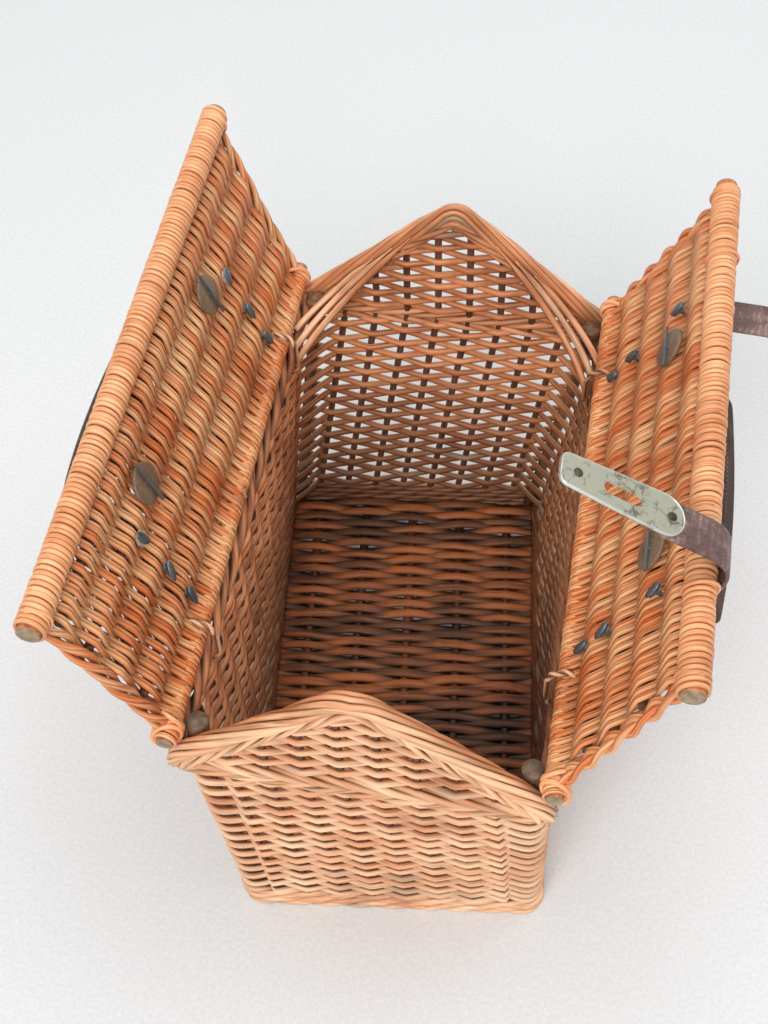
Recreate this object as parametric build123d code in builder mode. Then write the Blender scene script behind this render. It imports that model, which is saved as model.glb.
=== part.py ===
"""Wicker lunch basket with two gable lids, leather handles and leather hasp straps.

The model is in millimetres with +Z up. X runs across the basket, Y along the ridge, and
the origin lies on the table under the middle of the ridge. The basket is old: its base
has turned and slipped a little under its rim, so the walls are ruled surfaces. The lids
stand open, as they do while the basket is being unpacked.
"""

import os
from math import acos, atan2, cos, pi, radians, sin, tan

from build123d import *

os.makedirs("parts", exist_ok=True)

# Rim, base and walls
RIM_WIDTH = 200.0
RIM_LENGTH = 340.0
RIM_HEIGHT = 191.0
BASE_WIDTH = 188.0
BASE_LENGTH = 320.0
BASE_TWIST = 7.0
BASE_SHIFT = -8.0
FLOOR_THICKNESS = 8.0
FOOT_HEIGHT = 10.0
FOOT_WIDTH = 9.0
FOOT_CORNER = 5.0
FOOT_BEVEL = 2.5
WALL_THICKNESS = 8.5
WALL_INSET = 0.5

# Gables, wales and borders
EAVE_RISE = 9.0
FRONT_GABLE_RISE = 90.0
REAR_GABLE_RISE = 88.0
FRONT_PEAK_RADIUS = 25.0
REAR_PEAK_RADIUS = 14.0
WALE_HEIGHT = 10.0
WALE_PROUD = 2.5
BORDER_DEPTH = 13.0
BORDER_PROUD = 3.5
BORDER_OVERHANG = 2.0
BORDER_BEVEL = 3.0
WALE_BEVEL = 3.0
SIDE_BORDER_WIDTH = 12.0
SIDE_BORDER_HEIGHT = 13.0
SIDE_BORDER_PROUD = 4.0

# Stakes, posts and floor sticks
STAKE_DIAMETER = 4.5
END_STAKES = 8
END_STAKE_SPACING = 20.0
SIDE_STAKES = 13
SIDE_STAKE_SPACING = 22.0
POST_DIAMETER = 11.0
POST_RISE = 14.0
FLOOR_STICK_DIAMETER = 5.0
FLOOR_STICKS = 8
FLOOR_STICK_SPACING = 19.0

# Lids
HINGE_GAP = 2.5
HINGE_SPACING = 200.0
LID_WIDTH = 120.0
LID_THICKNESS = 9.0
HINGE_ROD_LENGTH = 344.0
HINGE_ROD_DIAMETER = 9.0
HINGE_WRAP_DIAMETER = 13.0
LEFT_ROD_LENGTH = 364.0
RIGHT_ROD_LENGTH = 330.0
OUTER_ROD_DIAMETER = 12.0
OUTER_WRAP_DIAMETER = 16.0
ROD_END_SHOWN = 5.0
LID_STICK_DIAMETER = 5.0
LID_STICKS = 4
LID_STICK_FIRST = 28.0
LID_STICK_SPACING = 25.0
EDGE_DIAMETER = 10.0
LEFT_LID_ANGLE = 68.0
RIGHT_LID_ANGLE = 63.5
RIDGE_GAP = 1.0

# Hinge loops of twisted willow
LOOP_PLACE = 104.0
LOOP_WIRE = 3.5
LOOP_BELOW_RIM = 2.2
LOOP_ROD_CLEARANCE = 1.5
LOOP_SHIFT = 0.8
LOOP_NOTCH_REACH = 14.0

# Handles and the wire eyes that carry them
HANDLE_SPAN = 134.0
HANDLE_PLACE = 83.0
HANDLE_LENGTH = 148.0
HANDLE_REACH = 58.0
HANDLE_END_REACH = 46.0
HANDLE_INNER_REACH = 38.0
HANDLE_INNER_END_REACH = 27.0
HANDLE_THICKNESS = 8.0
HANDLE_CORNER = 4.0
HANDLE_BEVEL = 2.0
HANDLE_RUNS = 8
LUG_WIDTH = 3.6
LUG_DIAMETER = 9.0
LUG_BORE = 4.6
LUG_SHOULDER = 13.0
EYE_RADIUS = 4.2
EYE_WIRE = 2.4
EYE_SHANK = 3.2
EYE_LEG = 1.8
EYE_LEG_REACH = 14.0
WASHER_DIAMETER = 18.0
WASHER_THICKNESS = 2.4
LEFT_HANDLE_DROOP = 44.0
RIGHT_HANDLE_DROOP = 64.0

# Straps and their pins
FRONT_STRAP_PLACE = -94.0
REAR_STRAP_PLACE = 92.0
STRAP_WIDTH = 22.0
STRAP_THICKNESS = 2.4
STRAP_START = 15.0
STRAP_ROOT = 97.0
STRAP_RAMP = 12.0
STRAP_TAIL = 46.0
FRONT_ROOT_BEND = 0.0
FRONT_FOLD_BEND = 88.0
REAR_ROOT_BEND = -66.0
REAR_FOLD_BEND = -45.0
LEFT_STRAP_END = 90.0
PIN_FIRST = 20.0
LEFT_PIN_SECOND = 43.0
RIGHT_PIN_SECOND = 41.0
RIGHT_PIN_THIRD = 88.0
PIN_DIAMETER = 2.6
PIN_HEAD_DIAMETER = 8.0
PIN_HEAD_HEIGHT = 1.8
PIN_HEAD_TAPER = 30.0
PIN_TAIL_LENGTH = 12.0
PIN_TAIL_WIDTH = 4.0
PIN_TAIL_THICKNESS = 1.2

# Hasps and turning staples
HASP_WIDTH = 22.0
HASP_END_WIDTH = 16.0
HASP_START = 34.0
HASP_LENGTH = 66.0
HASP_THICKNESS = 1.6
HASP_TIP_CORNER = 3.0
SLOT_LENGTH = 21.0
SLOT_WIDTH = 7.0
SLOT_PLACE = 67.0
RIVET_DIAMETER = 3.4
RIVET_HEAD_DIAMETER = 5.6
RIVET_HEAD_HEIGHT = 1.0
RIVET_NEAR = 41.0
RIVET_FAR = 91.0
STAPLE_PLATE_LENGTH = 26.0
STAPLE_PLATE_WIDTH = 18.0
STAPLE_PLATE_CORNER = 5.0
STAPLE_PLATE_THICKNESS = 1.2
STAPLE_STEM = 4.0
STAPLE_HEAD_LENGTH = 14.0
STAPLE_HEAD_WIDTH = 4.6
STAPLE_HEAD_HEIGHT = 3.0
STAPLE_WASHER_DIAMETER = 9.0

# Clearances
FIT = 0.3
BORE_FIT = 0.2
HASP_CLEARANCE = 0.6

# Faces round the thin sticks and wires, the pins, the posts, and the rods and rings
STICK_FACES = 6
PIN_FACES = 8
POST_FACES = 8
RING_FACES = 16

# Places that follow from the sizes above
HALF_WIDTH = RIM_WIDTH / 2
HALF_LENGTH = RIM_LENGTH / 2
WALE_BOTTOM = RIM_HEIGHT - WALE_HEIGHT
EAVE_HEIGHT = RIM_HEIGHT + EAVE_RISE
FRONT_PEAK = EAVE_HEIGHT + FRONT_GABLE_RISE
REAR_PEAK = EAVE_HEIGHT + REAR_GABLE_RISE
POST_TOP = RIM_HEIGHT + POST_RISE
END_WALL_INNER = HALF_LENGTH - WALL_THICKNESS
LID_FACE = LID_THICKNESS / 2
OUTER_WRAP = OUTER_WRAP_DIAMETER / 2
HINGE_WRAP = HINGE_WRAP_DIAMETER / 2
HINGE_HEIGHT = RIM_HEIGHT + SIDE_BORDER_HEIGHT + HINGE_GAP + HINGE_WRAP
STRAP_HALF = STRAP_THICKNESS / 2
STRAP_ON_LID = LID_FACE + FIT + STRAP_HALF
STRAP_ON_ROD = OUTER_WRAP + FIT + STRAP_HALF
CLOSED_SLOPE = acos((HINGE_SPACING / 2 - OUTER_WRAP - RIDGE_GAP / 2) / LID_WIDTH)
STRAP_FOLD = (HINGE_SPACING / 2 + STRAP_ON_ROD * sin(CLOSED_SLOPE)) / cos(CLOSED_SLOPE)
EYE_CENTRE = LID_FACE + FIT + EYE_WIRE / 2 + EYE_RADIUS
HANDLE_PIVOT = EYE_CENTRE + EYE_RADIUS
STAPLE_PLACE = STRAP_FOLD - SLOT_PLACE
LEFT_PIN_PLACES = (PIN_FIRST, LEFT_PIN_SECOND)
RIGHT_PIN_PLACES = (PIN_FIRST, RIGHT_PIN_SECOND, RIGHT_PIN_THIRD)
RIVET_PLACES = (RIVET_NEAR, RIVET_FAR)
FRONT, REAR = -1, 1
LEFT, RIGHT = -1, 1


def save(piece, name):
    """Labels a finished piece and writes its file."""
    piece.label = name
    export_step(piece, f"parts/{name}.step")


def row(count, spacing):
    """Evenly spaced places about a middle."""
    return [(number - (count - 1) / 2) * spacing for number in range(count)]


def level(height):
    """The plane of the walls at one height, turned and shifted between base and rim."""
    share = 1 - height / RIM_HEIGHT
    turn = radians(BASE_TWIST * share)
    return Plane(origin=(BASE_SHIFT * share, 0, height), x_dir=(cos(turn), sin(turn), 0), z_dir=(0, 0, 1))


def half_size(height):
    """Half the width and half the length over the walls at one height."""
    share = height / RIM_HEIGHT
    base_width = BASE_WIDTH / 2 - WALL_INSET
    base_length = BASE_LENGTH / 2 - WALL_INSET
    return (
        base_width + (HALF_WIDTH - base_width) * share,
        base_length + (HALF_LENGTH - base_length) * share,
    )


def in_wall(height, across, along):
    """A point of the walls, from its height and its place in that height's turned axes."""
    return level(height).from_local_coords(Vector(across, along, 0))


def stick(start, end, diameter, mode=Mode.ADD, faces=STICK_FACES):
    """A straight stick or rod from one point to another, with flats in place of its round."""
    run = end - start
    with BuildSketch(Plane(origin=start, z_dir=run), mode=Mode.PRIVATE) as section:
        RegularPolygon(diameter / 2, faces)
    extrude(section.sketch, amount=run.length, mode=mode)


def rod_bore(start, end, diameter):
    """A many-sided clearance hole round a rod, run past both of its ends."""
    past = (end - start).normalized() * diameter
    across_corners = (diameter + 2 * BORE_FIT) / cos(pi / POST_FACES)
    stick(start - past, end + past, across_corners, mode=Mode.SUBTRACT, faces=POST_FACES)


def arch(half_length, end_height, middle_height, runs):
    """Points along a shallow parabolic arch, as the corners of straight runs."""
    shares = [2 * number / runs - 1 for number in range(runs + 1)]
    drop = middle_height - end_height
    return [(half_length * share, middle_height - drop * share**2) for share in shares]


def slot_outline(half_middles, radius, faces=RING_FACES):
    """The corners of a long slot outline whose round ends have flats, along its first axis."""
    turns = [pi * (number / (faces // 2) - 1 / 2) for number in range(faces // 2 + 1)]
    far_end = [(half_middles + radius * cos(turn), radius * sin(turn)) for turn in turns]
    return far_end + [(-x, -y) for x, y in far_end]


def bore(start, end, diameter, faces=STICK_FACES):
    """A clearance hole along a stick, run past both of its ends."""
    past = (end - start).normalized() * diameter
    stick(start - past, end + past, diameter + 2 * BORE_FIT, mode=Mode.SUBTRACT, faces=faces)


def corner_radius(peak_radius):
    """The radius of the underside of a gable border's peak."""
    return max(peak_radius - BORDER_DEPTH, 1.0)


def rake(peak):
    """The slope of a gable's edge."""
    return atan2(peak - EAVE_HEIGHT, HALF_WIDTH)


def border_underside(peak, peak_radius, across):
    """The height of a gable border's underside at one distance from the ridge."""
    slope = rake(peak)
    sharp = peak - BORDER_DEPTH / cos(slope)
    crown = sharp - corner_radius(peak_radius) * (1 / cos(slope) - 1)
    return min(sharp - abs(across) * tan(slope), crown)


def end_stake(end, across):
    """The foot, the bend at the rim and the top of one stake in an end wall."""
    peak, radius = (FRONT_PEAK, FRONT_PEAK_RADIUS) if end == FRONT else (REAR_PEAK, REAR_PEAK_RADIUS)
    low = FOOT_HEIGHT + 2 * FIT
    foot = in_wall(low, across, end * (half_size(low)[1] - WALL_THICKNESS / 2))
    bend = Vector(across, end * (HALF_LENGTH - WALL_THICKNESS / 2), RIM_HEIGHT)
    reach = abs(across) + STAKE_DIAMETER / 2
    top = Vector(bend.X, bend.Y, border_underside(peak, radius, reach) - FIT)
    return foot, bend, top


def side_stake(side, along):
    """The foot and the top of one stake in a side wall."""
    low = FOOT_HEIGHT + 2 * FIT
    foot = in_wall(low, side * (half_size(low)[0] - WALL_THICKNESS / 2), along)
    top = Vector(side * (HALF_WIDTH - WALL_THICKNESS / 2), along, RIM_HEIGHT - FIT)
    return foot, top


def corner_post(side, end):
    """The foot, the bend at the rim and the top of the thick post inside one corner."""
    inset = WALL_THICKNESS + FIT + POST_DIAMETER / 2
    low = FOOT_HEIGHT + 4 * FIT
    wide, long = half_size(low)
    foot = in_wall(low, side * (wide - inset), end * (long - inset))
    bend = Vector(side * (HALF_WIDTH - inset), end * (HALF_LENGTH - inset), RIM_HEIGHT)
    return foot, bend, Vector(bend.X, bend.Y, POST_TOP)


# Floor: weavers packed across lengthwise sticks
inner_width = BASE_WIDTH - 2 * (FOOT_WIDTH + FIT)
inner_length = BASE_LENGTH - 2 * (FOOT_WIDTH + FIT)
floor_middle = level(0).offset(FLOOR_THICKNESS / 2)
stick_ends = [
    (
        floor_middle.from_local_coords(Vector(across, -inner_length / 2, 0)),
        floor_middle.from_local_coords(Vector(across, inner_length / 2, 0)),
    )
    for across in row(FLOOR_STICKS, FLOOR_STICK_SPACING)
]

with BuildPart() as floor_weave:
    with BuildSketch(level(0)):
        Rectangle(inner_width, inner_length)
    extrude(amount=FLOOR_THICKNESS)
    for front_end, rear_end in stick_ends:
        bore(front_end, rear_end, FLOOR_STICK_DIAMETER)
save(floor_weave.part, "floor_weave")

with BuildPart() as floor_sticks:
    for front_end, rear_end in stick_ends:
        stick(front_end, rear_end, FLOOR_STICK_DIAMETER)
save(floor_sticks.part, "floor_sticks")

# Foot wale: the twisted band that the basket stands on
with BuildPart() as foot_wale:
    with BuildSketch(level(0)) as foot_outline:
        Rectangle(BASE_WIDTH, BASE_LENGTH)
        chamfer(foot_outline.vertices(), FOOT_CORNER)
        Rectangle(BASE_WIDTH - 2 * FOOT_WIDTH, BASE_LENGTH - 2 * FOOT_WIDTH, mode=Mode.SUBTRACT)
    extrude(amount=FOOT_HEIGHT)
    chamfer(foot_wale.faces().sort_by(Axis.Z)[0].outer_wire().edges(), FOOT_BEVEL)
save(foot_wale.part, "foot_wale")


# Walls: woven panels that meet in mitres at the corners
def end_section(end, height):
    """The four corners of an end wall's section at one height, in that height's axes."""
    wide, long = half_size(height)
    inner = WALL_THICKNESS
    gap = BORE_FIT / 2
    corners = [(-wide, -long), (wide, -long), (wide - inner, inner - long), (inner - wide, inner - long)]
    pulled = [(x - gap if x > 0 else x + gap, y) for x, y in corners]
    return [(x, -end * y) for x, y in pulled]


def side_section(side, height):
    """The four corners of a side wall's section at one height, in that height's axes."""
    wide, long = half_size(height)
    inner = WALL_THICKNESS
    gap = BORE_FIT / 2
    corners = [(wide, -long), (wide, long), (wide - inner, long - inner), (wide - inner, inner - long)]
    pulled = [(x, y - gap if y > 0 else y + gap) for x, y in corners]
    return [(side * x, y) for x, y in pulled]


for end, name in ((FRONT, "front"), (REAR, "rear")):
    stakes = [end_stake(end, across) for across in row(END_STAKES, END_STAKE_SPACING)]
    with BuildPart() as end_wall:
        for height in (FOOT_HEIGHT, WALE_BOTTOM):
            with BuildSketch(level(height)):
                Polygon(*end_section(end, height), align=None)
        loft(ruled=True)
        for foot, bend, top in stakes:
            bore(foot, bend, STAKE_DIAMETER)
    save(end_wall.part, f"{name}_wall_weave")

    with BuildPart() as end_stakes:
        for foot, bend, top in stakes:
            stick(foot, bend, STAKE_DIAMETER)
            stick(bend, top, STAKE_DIAMETER)
    save(end_stakes.part, f"{name}_stakes")

for side, name in ((LEFT, "left"), (RIGHT, "right")):
    stakes = [side_stake(side, along) for along in row(SIDE_STAKES, SIDE_STAKE_SPACING)]
    with BuildPart() as side_wall:
        for height in (FOOT_HEIGHT, RIM_HEIGHT):
            with BuildSketch(level(height)):
                Polygon(*side_section(side, height), align=None)
        loft(ruled=True)
        for foot, top in stakes:
            bore(foot, top, STAKE_DIAMETER)
        for end in (FRONT, REAR):
            with Locations((side * HALF_WIDTH, end * (END_WALL_INNER - FIT + HALF_LENGTH / 2), RIM_HEIGHT)):
                Box(4 * WALL_THICKNESS, HALF_LENGTH, 2 * WALE_HEIGHT, mode=Mode.SUBTRACT)
        with Locations([(side * HALF_WIDTH, along, RIM_HEIGHT) for along in (-LOOP_PLACE, LOOP_PLACE)]):
            notch_depth = 2 * (LOOP_BELOW_RIM + LOOP_WIRE + FIT)
            Box(4 * WALL_THICKNESS, LOOP_WIRE + 2 * FIT, notch_depth, mode=Mode.SUBTRACT)
    save(side_wall.part, f"{name}_wall_weave")

    with BuildPart() as side_stakes:
        for foot, top in stakes:
            stick(foot, top, STAKE_DIAMETER)
    save(side_stakes.part, f"{name}_stakes")

with BuildPart() as corner_posts:
    for side in (LEFT, RIGHT):
        for end in (FRONT, REAR):
            foot, bend, top = corner_post(side, end)
            stick(foot, bend, POST_DIAMETER, faces=POST_FACES)
            stick(bend, top, POST_DIAMETER, faces=POST_FACES)
save(corner_posts.part, "corner_posts")


# Gables: a wale at the eaves, a woven triangle and a rolled border over both rakes
def inner_triangle(peak, peak_radius, shrink):
    """The woven triangle under a gable border, as a face in the border's own plane."""
    slope = rake(peak)
    sharp = peak - BORDER_DEPTH / cos(slope) - shrink / cos(slope)
    half_base = (sharp - RIM_HEIGHT) / tan(slope)
    with BuildSketch(mode=Mode.PRIVATE) as triangle:
        Polygon((-half_base, RIM_HEIGHT), (half_base, RIM_HEIGHT), (0, sharp), align=None)
        fillet(triangle.vertices().sort_by(Axis.Y)[-1], corner_radius(peak_radius))
    return triangle.sketch


for end, name, peak, radius in (
    (FRONT, "front", FRONT_PEAK, FRONT_PEAK_RADIUS),
    (REAR, "rear", REAR_PEAK, REAR_PEAK_RADIUS),
):
    stakes = [end_stake(end, across) for across in row(END_STAKES, END_STAKE_SPACING)]
    inside = Plane(origin=(0, end * END_WALL_INNER, 0), x_dir=(1, 0, 0), z_dir=(0, -1, 0))

    with BuildPart() as eave_wale:
        with BuildSketch(inside):
            with Locations((0, RIM_HEIGHT - WALE_HEIGHT / 2)):
                Rectangle(RIM_WIDTH, WALE_HEIGHT)
        extrude(amount=-end * (WALL_THICKNESS + WALE_PROUD))
        proud_face = eave_wale.faces().sort_by(Axis.Y)[0 if end == FRONT else -1]
        chamfer(proud_face.edges().filter_by(Axis.X), WALE_BEVEL)
        for foot, bend, top in stakes:
            bore(foot, bend, STAKE_DIAMETER)
    save(eave_wale.part, f"{name}_eave_wale")

    with BuildPart() as gable_weave:
        with BuildSketch(inside):
            add(inner_triangle(peak, radius, FIT))
        extrude(amount=-end * WALL_THICKNESS)
        for foot, bend, top in stakes:
            bore(bend, top, STAKE_DIAMETER)
    save(gable_weave.part, f"{name}_gable_weave")

    corner = HALF_WIDTH + BORDER_OVERHANG
    corner_height = EAVE_HEIGHT - BORDER_OVERHANG * tan(rake(peak))
    with BuildPart() as gable_border:
        with BuildSketch(inside) as outline:
            Polygon(
                (-corner, RIM_HEIGHT),
                (corner, RIM_HEIGHT),
                (corner, corner_height),
                (0, peak),
                (-corner, corner_height),
                align=None,
            )
            fillet(outline.vertices().sort_by(Axis.Y)[-1], radius)
            add(inner_triangle(peak, radius, 0), mode=Mode.SUBTRACT)
        extrude(amount=-end * (WALL_THICKNESS + BORDER_PROUD))
        proud_face = gable_border.faces().sort_by(Axis.Y)[0 if end == FRONT else -1]
        top_edges = proud_face.edges().filter_by_position(Axis.Z, corner_height, peak)
        chamfer(top_edges, BORDER_BEVEL)
    save(gable_border.part, f"{name}_gable_border")

# Side borders and the willow loops that hinge the lids to them
border_length = 2 * (END_WALL_INNER - FIT)
for side, name in ((LEFT, "left"), (RIGHT, "right")):
    border_x = side * (HALF_WIDTH + SIDE_BORDER_PROUD - SIDE_BORDER_WIDTH / 2)
    with BuildPart() as top_border:
        with Locations((border_x, 0, RIM_HEIGHT + SIDE_BORDER_HEIGHT / 2)):
            Box(SIDE_BORDER_WIDTH, border_length, SIDE_BORDER_HEIGHT)
        chamfer(top_border.edges().filter_by(Axis.Y), BORDER_BEVEL)
        for end in (FRONT, REAR):
            foot, bend, top = corner_post(side, end)
            bore(bend, top, POST_DIAMETER, faces=POST_FACES)
    save(top_border.part, f"{name}_top_border")

    loop_radius = HINGE_WRAP + LOOP_ROD_CLEARANCE + LOOP_WIRE / 2
    loop_x = side * (HINGE_SPACING / 2 - LOOP_SHIFT)
    loop_low = RIM_HEIGHT - LOOP_BELOW_RIM - LOOP_WIRE / 2 + loop_radius
    with BuildPart() as hinge_loops:
        for along in (-LOOP_PLACE, LOOP_PLACE):
            loop_middle = (loop_x, along, (loop_low + HINGE_HEIGHT) / 2)
            with BuildSketch(Plane(origin=loop_middle, x_dir=(0, 0, 1), z_dir=(0, 1, 0))):
                half_middles = (HINGE_HEIGHT - loop_low) / 2
                outer_loop = slot_outline(half_middles, loop_radius + LOOP_WIRE / 2)
                inner_loop = slot_outline(half_middles, loop_radius - LOOP_WIRE / 2)
                Polygon(*outer_loop, align=None)
                Polygon(*inner_loop, align=None, mode=Mode.SUBTRACT)
            extrude(amount=LOOP_WIRE / 2, both=True)
    save(hinge_loops.part, f"{name}_hinge_loops")


# Lids, each drawn in its own frame: X from the hinge to the outer rod, Z outward
def lid_frame(side, angle):
    """The frame of a lid that stands at an angle over the level."""
    lean = radians(angle)
    return Plane(
        origin=(side * HINGE_SPACING / 2, 0, HINGE_HEIGHT),
        x_dir=(side * cos(lean), 0, sin(lean)),
        z_dir=(side * sin(lean), 0, -cos(lean)),
    )


def on_lid(frame, reach, along, outward):
    """A point of a lid: reach from the hinge, place along the ridge, height off its middle."""
    spot = frame.from_local_coords(Vector(reach, 0, outward))
    return Vector(spot.X, along, spot.Z)


def lid_plane(frame, reach, along, outward):
    """A plane on a lid, facing outward, with its X axis from the hinge to the outer rod."""
    return Plane(origin=on_lid(frame, reach, along, outward), x_dir=frame.x_dir, z_dir=frame.z_dir)


def lid_section(frame, along):
    """A plane square to the ridge whose axes are the lid's reach and its outward height."""
    return Plane(
        origin=on_lid(frame, 0, along, 0), x_dir=frame.x_dir, z_dir=frame.x_dir.cross(frame.z_dir)
    )


def lid_half_length(rod_length, reach):
    """Half the length of a lid's weave at one distance from its hinge."""
    at_hinge = HINGE_ROD_LENGTH / 2 - ROD_END_SHOWN - EDGE_DIAMETER + FIT
    at_rod = rod_length / 2 - ROD_END_SHOWN - EDGE_DIAMETER + FIT
    return at_hinge + (at_rod - at_hinge) * reach / LID_WIDTH


lid_sides = (
    (LEFT, "left", LEFT_LID_ANGLE, LEFT_ROD_LENGTH, LEFT_HANDLE_DROOP),
    (RIGHT, "right", RIGHT_LID_ANGLE, RIGHT_ROD_LENGTH, RIGHT_HANDLE_DROOP),
)
strap_places = (FRONT_STRAP_PLACE, REAR_STRAP_PLACE)
eye_places = (-HANDLE_SPAN / 2, HANDLE_SPAN / 2)

for side, name, angle, rod_length, droop in lid_sides:
    frame = lid_frame(side, angle)
    pin_places = LEFT_PIN_PLACES if side == LEFT else RIGHT_PIN_PLACES
    pins = [(reach, along) for reach in pin_places for along in strap_places]
    stick_places = [LID_STICK_FIRST + LID_STICK_SPACING * number for number in range(LID_STICKS)]
    stick_halves = [lid_half_length(rod_length, reach) for reach in stick_places]
    hinge_rod_ends = [on_lid(frame, 0, end * HINGE_ROD_LENGTH / 2, 0) for end in (FRONT, REAR)]
    outer_rod_ends = [on_lid(frame, LID_WIDTH, end * rod_length / 2, 0) for end in (FRONT, REAR)]
    shown = Vector(0, ROD_END_SHOWN, 0)

    with BuildPart() as lid_weave:
        half_hinge = lid_half_length(rod_length, 0)
        half_rod = lid_half_length(rod_length, LID_WIDTH)
        with BuildSketch(frame):
            Polygon(
                (0, -half_hinge), (LID_WIDTH, -half_rod), (LID_WIDTH, half_rod), (0, half_hinge), align=None
            )
        extrude(amount=LID_FACE, both=True)
        stick(hinge_rod_ends[0] + shown, hinge_rod_ends[1] - shown, HINGE_WRAP_DIAMETER, faces=RING_FACES)
        stick(outer_rod_ends[0] + shown, outer_rod_ends[1] - shown, OUTER_WRAP_DIAMETER, faces=RING_FACES)
        rod_bore(*hinge_rod_ends, HINGE_ROD_DIAMETER)
        rod_bore(*outer_rod_ends, OUTER_ROD_DIAMETER)
        for reach, half in zip(stick_places, stick_halves):
            bore(on_lid(frame, reach, -half, 0), on_lid(frame, reach, half, 0), LID_STICK_DIAMETER)
        for reach, along in pins:
            with BuildSketch(lid_plane(frame, reach, along, 0)):
                RegularPolygon(PIN_DIAMETER / 2 + BORE_FIT, STICK_FACES)
            extrude(amount=LID_THICKNESS, both=True, mode=Mode.SUBTRACT)
        for along in eye_places:
            with BuildSketch(lid_plane(frame, HANDLE_PLACE, along, 0)):
                RegularPolygon(EYE_SHANK / 2 + BORE_FIT, STICK_FACES)
            extrude(amount=LID_THICKNESS, both=True, mode=Mode.SUBTRACT)
        if side == LEFT:
            for along in strap_places:
                with BuildSketch(lid_plane(frame, STAPLE_PLACE, along, 0)):
                    RegularPolygon(STAPLE_STEM / 2 + BORE_FIT, PIN_FACES)
                extrude(amount=LID_THICKNESS, both=True, mode=Mode.SUBTRACT)
        for along in (-LOOP_PLACE, LOOP_PLACE):
            with BuildSketch(lid_section(frame, along)) as notch:
                RegularPolygon(LOOP_NOTCH_REACH, RING_FACES)
                Circle(HINGE_WRAP, mode=Mode.SUBTRACT)
            extrude(amount=LOOP_WIRE / 2 + 2 * FIT, both=True, mode=Mode.SUBTRACT)
    save(lid_weave.part, f"{name}_lid_weave")

    with BuildPart() as lid_sticks:
        for reach, half in zip(stick_places, stick_halves):
            inset = half - FIT
            stick(on_lid(frame, reach, -inset, 0), on_lid(frame, reach, inset, 0), LID_STICK_DIAMETER)
    save(lid_sticks.part, f"{name}_lid_sticks")

    with BuildPart() as hinge_rod:
        stick(*hinge_rod_ends, HINGE_ROD_DIAMETER, faces=RING_FACES)
    save(hinge_rod.part, f"{name}_hinge_rod")

    with BuildPart() as outer_rod:
        stick(*outer_rod_ends, OUTER_ROD_DIAMETER, faces=RING_FACES)
    save(outer_rod.part, f"{name}_outer_rod")

    for end, end_name in ((FRONT, "front"), (REAR, "rear")):
        low = HINGE_WRAP + 2 * FIT
        high = LID_WIDTH - OUTER_WRAP - 2 * FIT
        beside = EDGE_DIAMETER / 2 + FIT
        with BuildPart() as lid_edge:
            stick(
                on_lid(frame, low, end * (lid_half_length(rod_length, low) + beside), 0),
                on_lid(frame, high, end * (lid_half_length(rod_length, high) + beside), 0),
                EDGE_DIAMETER,
            )
        save(lid_edge.part, f"{name}_lid_{end_name}_edge")

    # Wire eyes: a ring outside, a shank through the weave and two legs bent over inside
    leg_depth = LID_FACE + WASHER_THICKNESS + 2 * FIT + EYE_LEG / 2
    with BuildPart() as handle_eyes:
        for along in eye_places:
            ring_centre = on_lid(frame, HANDLE_PLACE, along, EYE_CENTRE)
            with BuildSketch(Plane(origin=ring_centre, x_dir=(0, 1, 0), z_dir=frame.x_dir)):
                RegularPolygon(EYE_RADIUS + EYE_WIRE / 2, RING_FACES)
                RegularPolygon(EYE_RADIUS - EYE_WIRE / 2, RING_FACES, mode=Mode.SUBTRACT)
            extrude(amount=EYE_WIRE / 2 - BORE_FIT, both=True)
            shank_top = on_lid(frame, HANDLE_PLACE, along, EYE_CENTRE - EYE_RADIUS)
            shank_foot = on_lid(frame, HANDLE_PLACE, along, -leg_depth)
            stick(shank_foot, shank_top, EYE_SHANK)
            leg_ends = [
                on_lid(frame, HANDLE_PLACE + way * EYE_LEG_REACH, along, -leg_depth)
                if side == LEFT
                else on_lid(frame, HANDLE_PLACE, along + way * EYE_LEG_REACH, -leg_depth)
                for way in (-1, 1)
            ]
            stick(*leg_ends, EYE_LEG, faces=STICK_FACES)
    save(handle_eyes.part, f"{name}_handle_eyes")

    with BuildPart() as handle_washers:
        for along in eye_places:
            with BuildSketch(lid_plane(frame, HANDLE_PLACE, along, -LID_FACE - FIT)):
                RegularPolygon(WASHER_DIAMETER / 2, RING_FACES)
                RegularPolygon(EYE_SHANK / 2 + BORE_FIT, STICK_FACES, mode=Mode.SUBTRACT)
            extrude(amount=-WASHER_THICKNESS)
    save(handle_washers.part, f"{name}_handle_washers")

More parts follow.
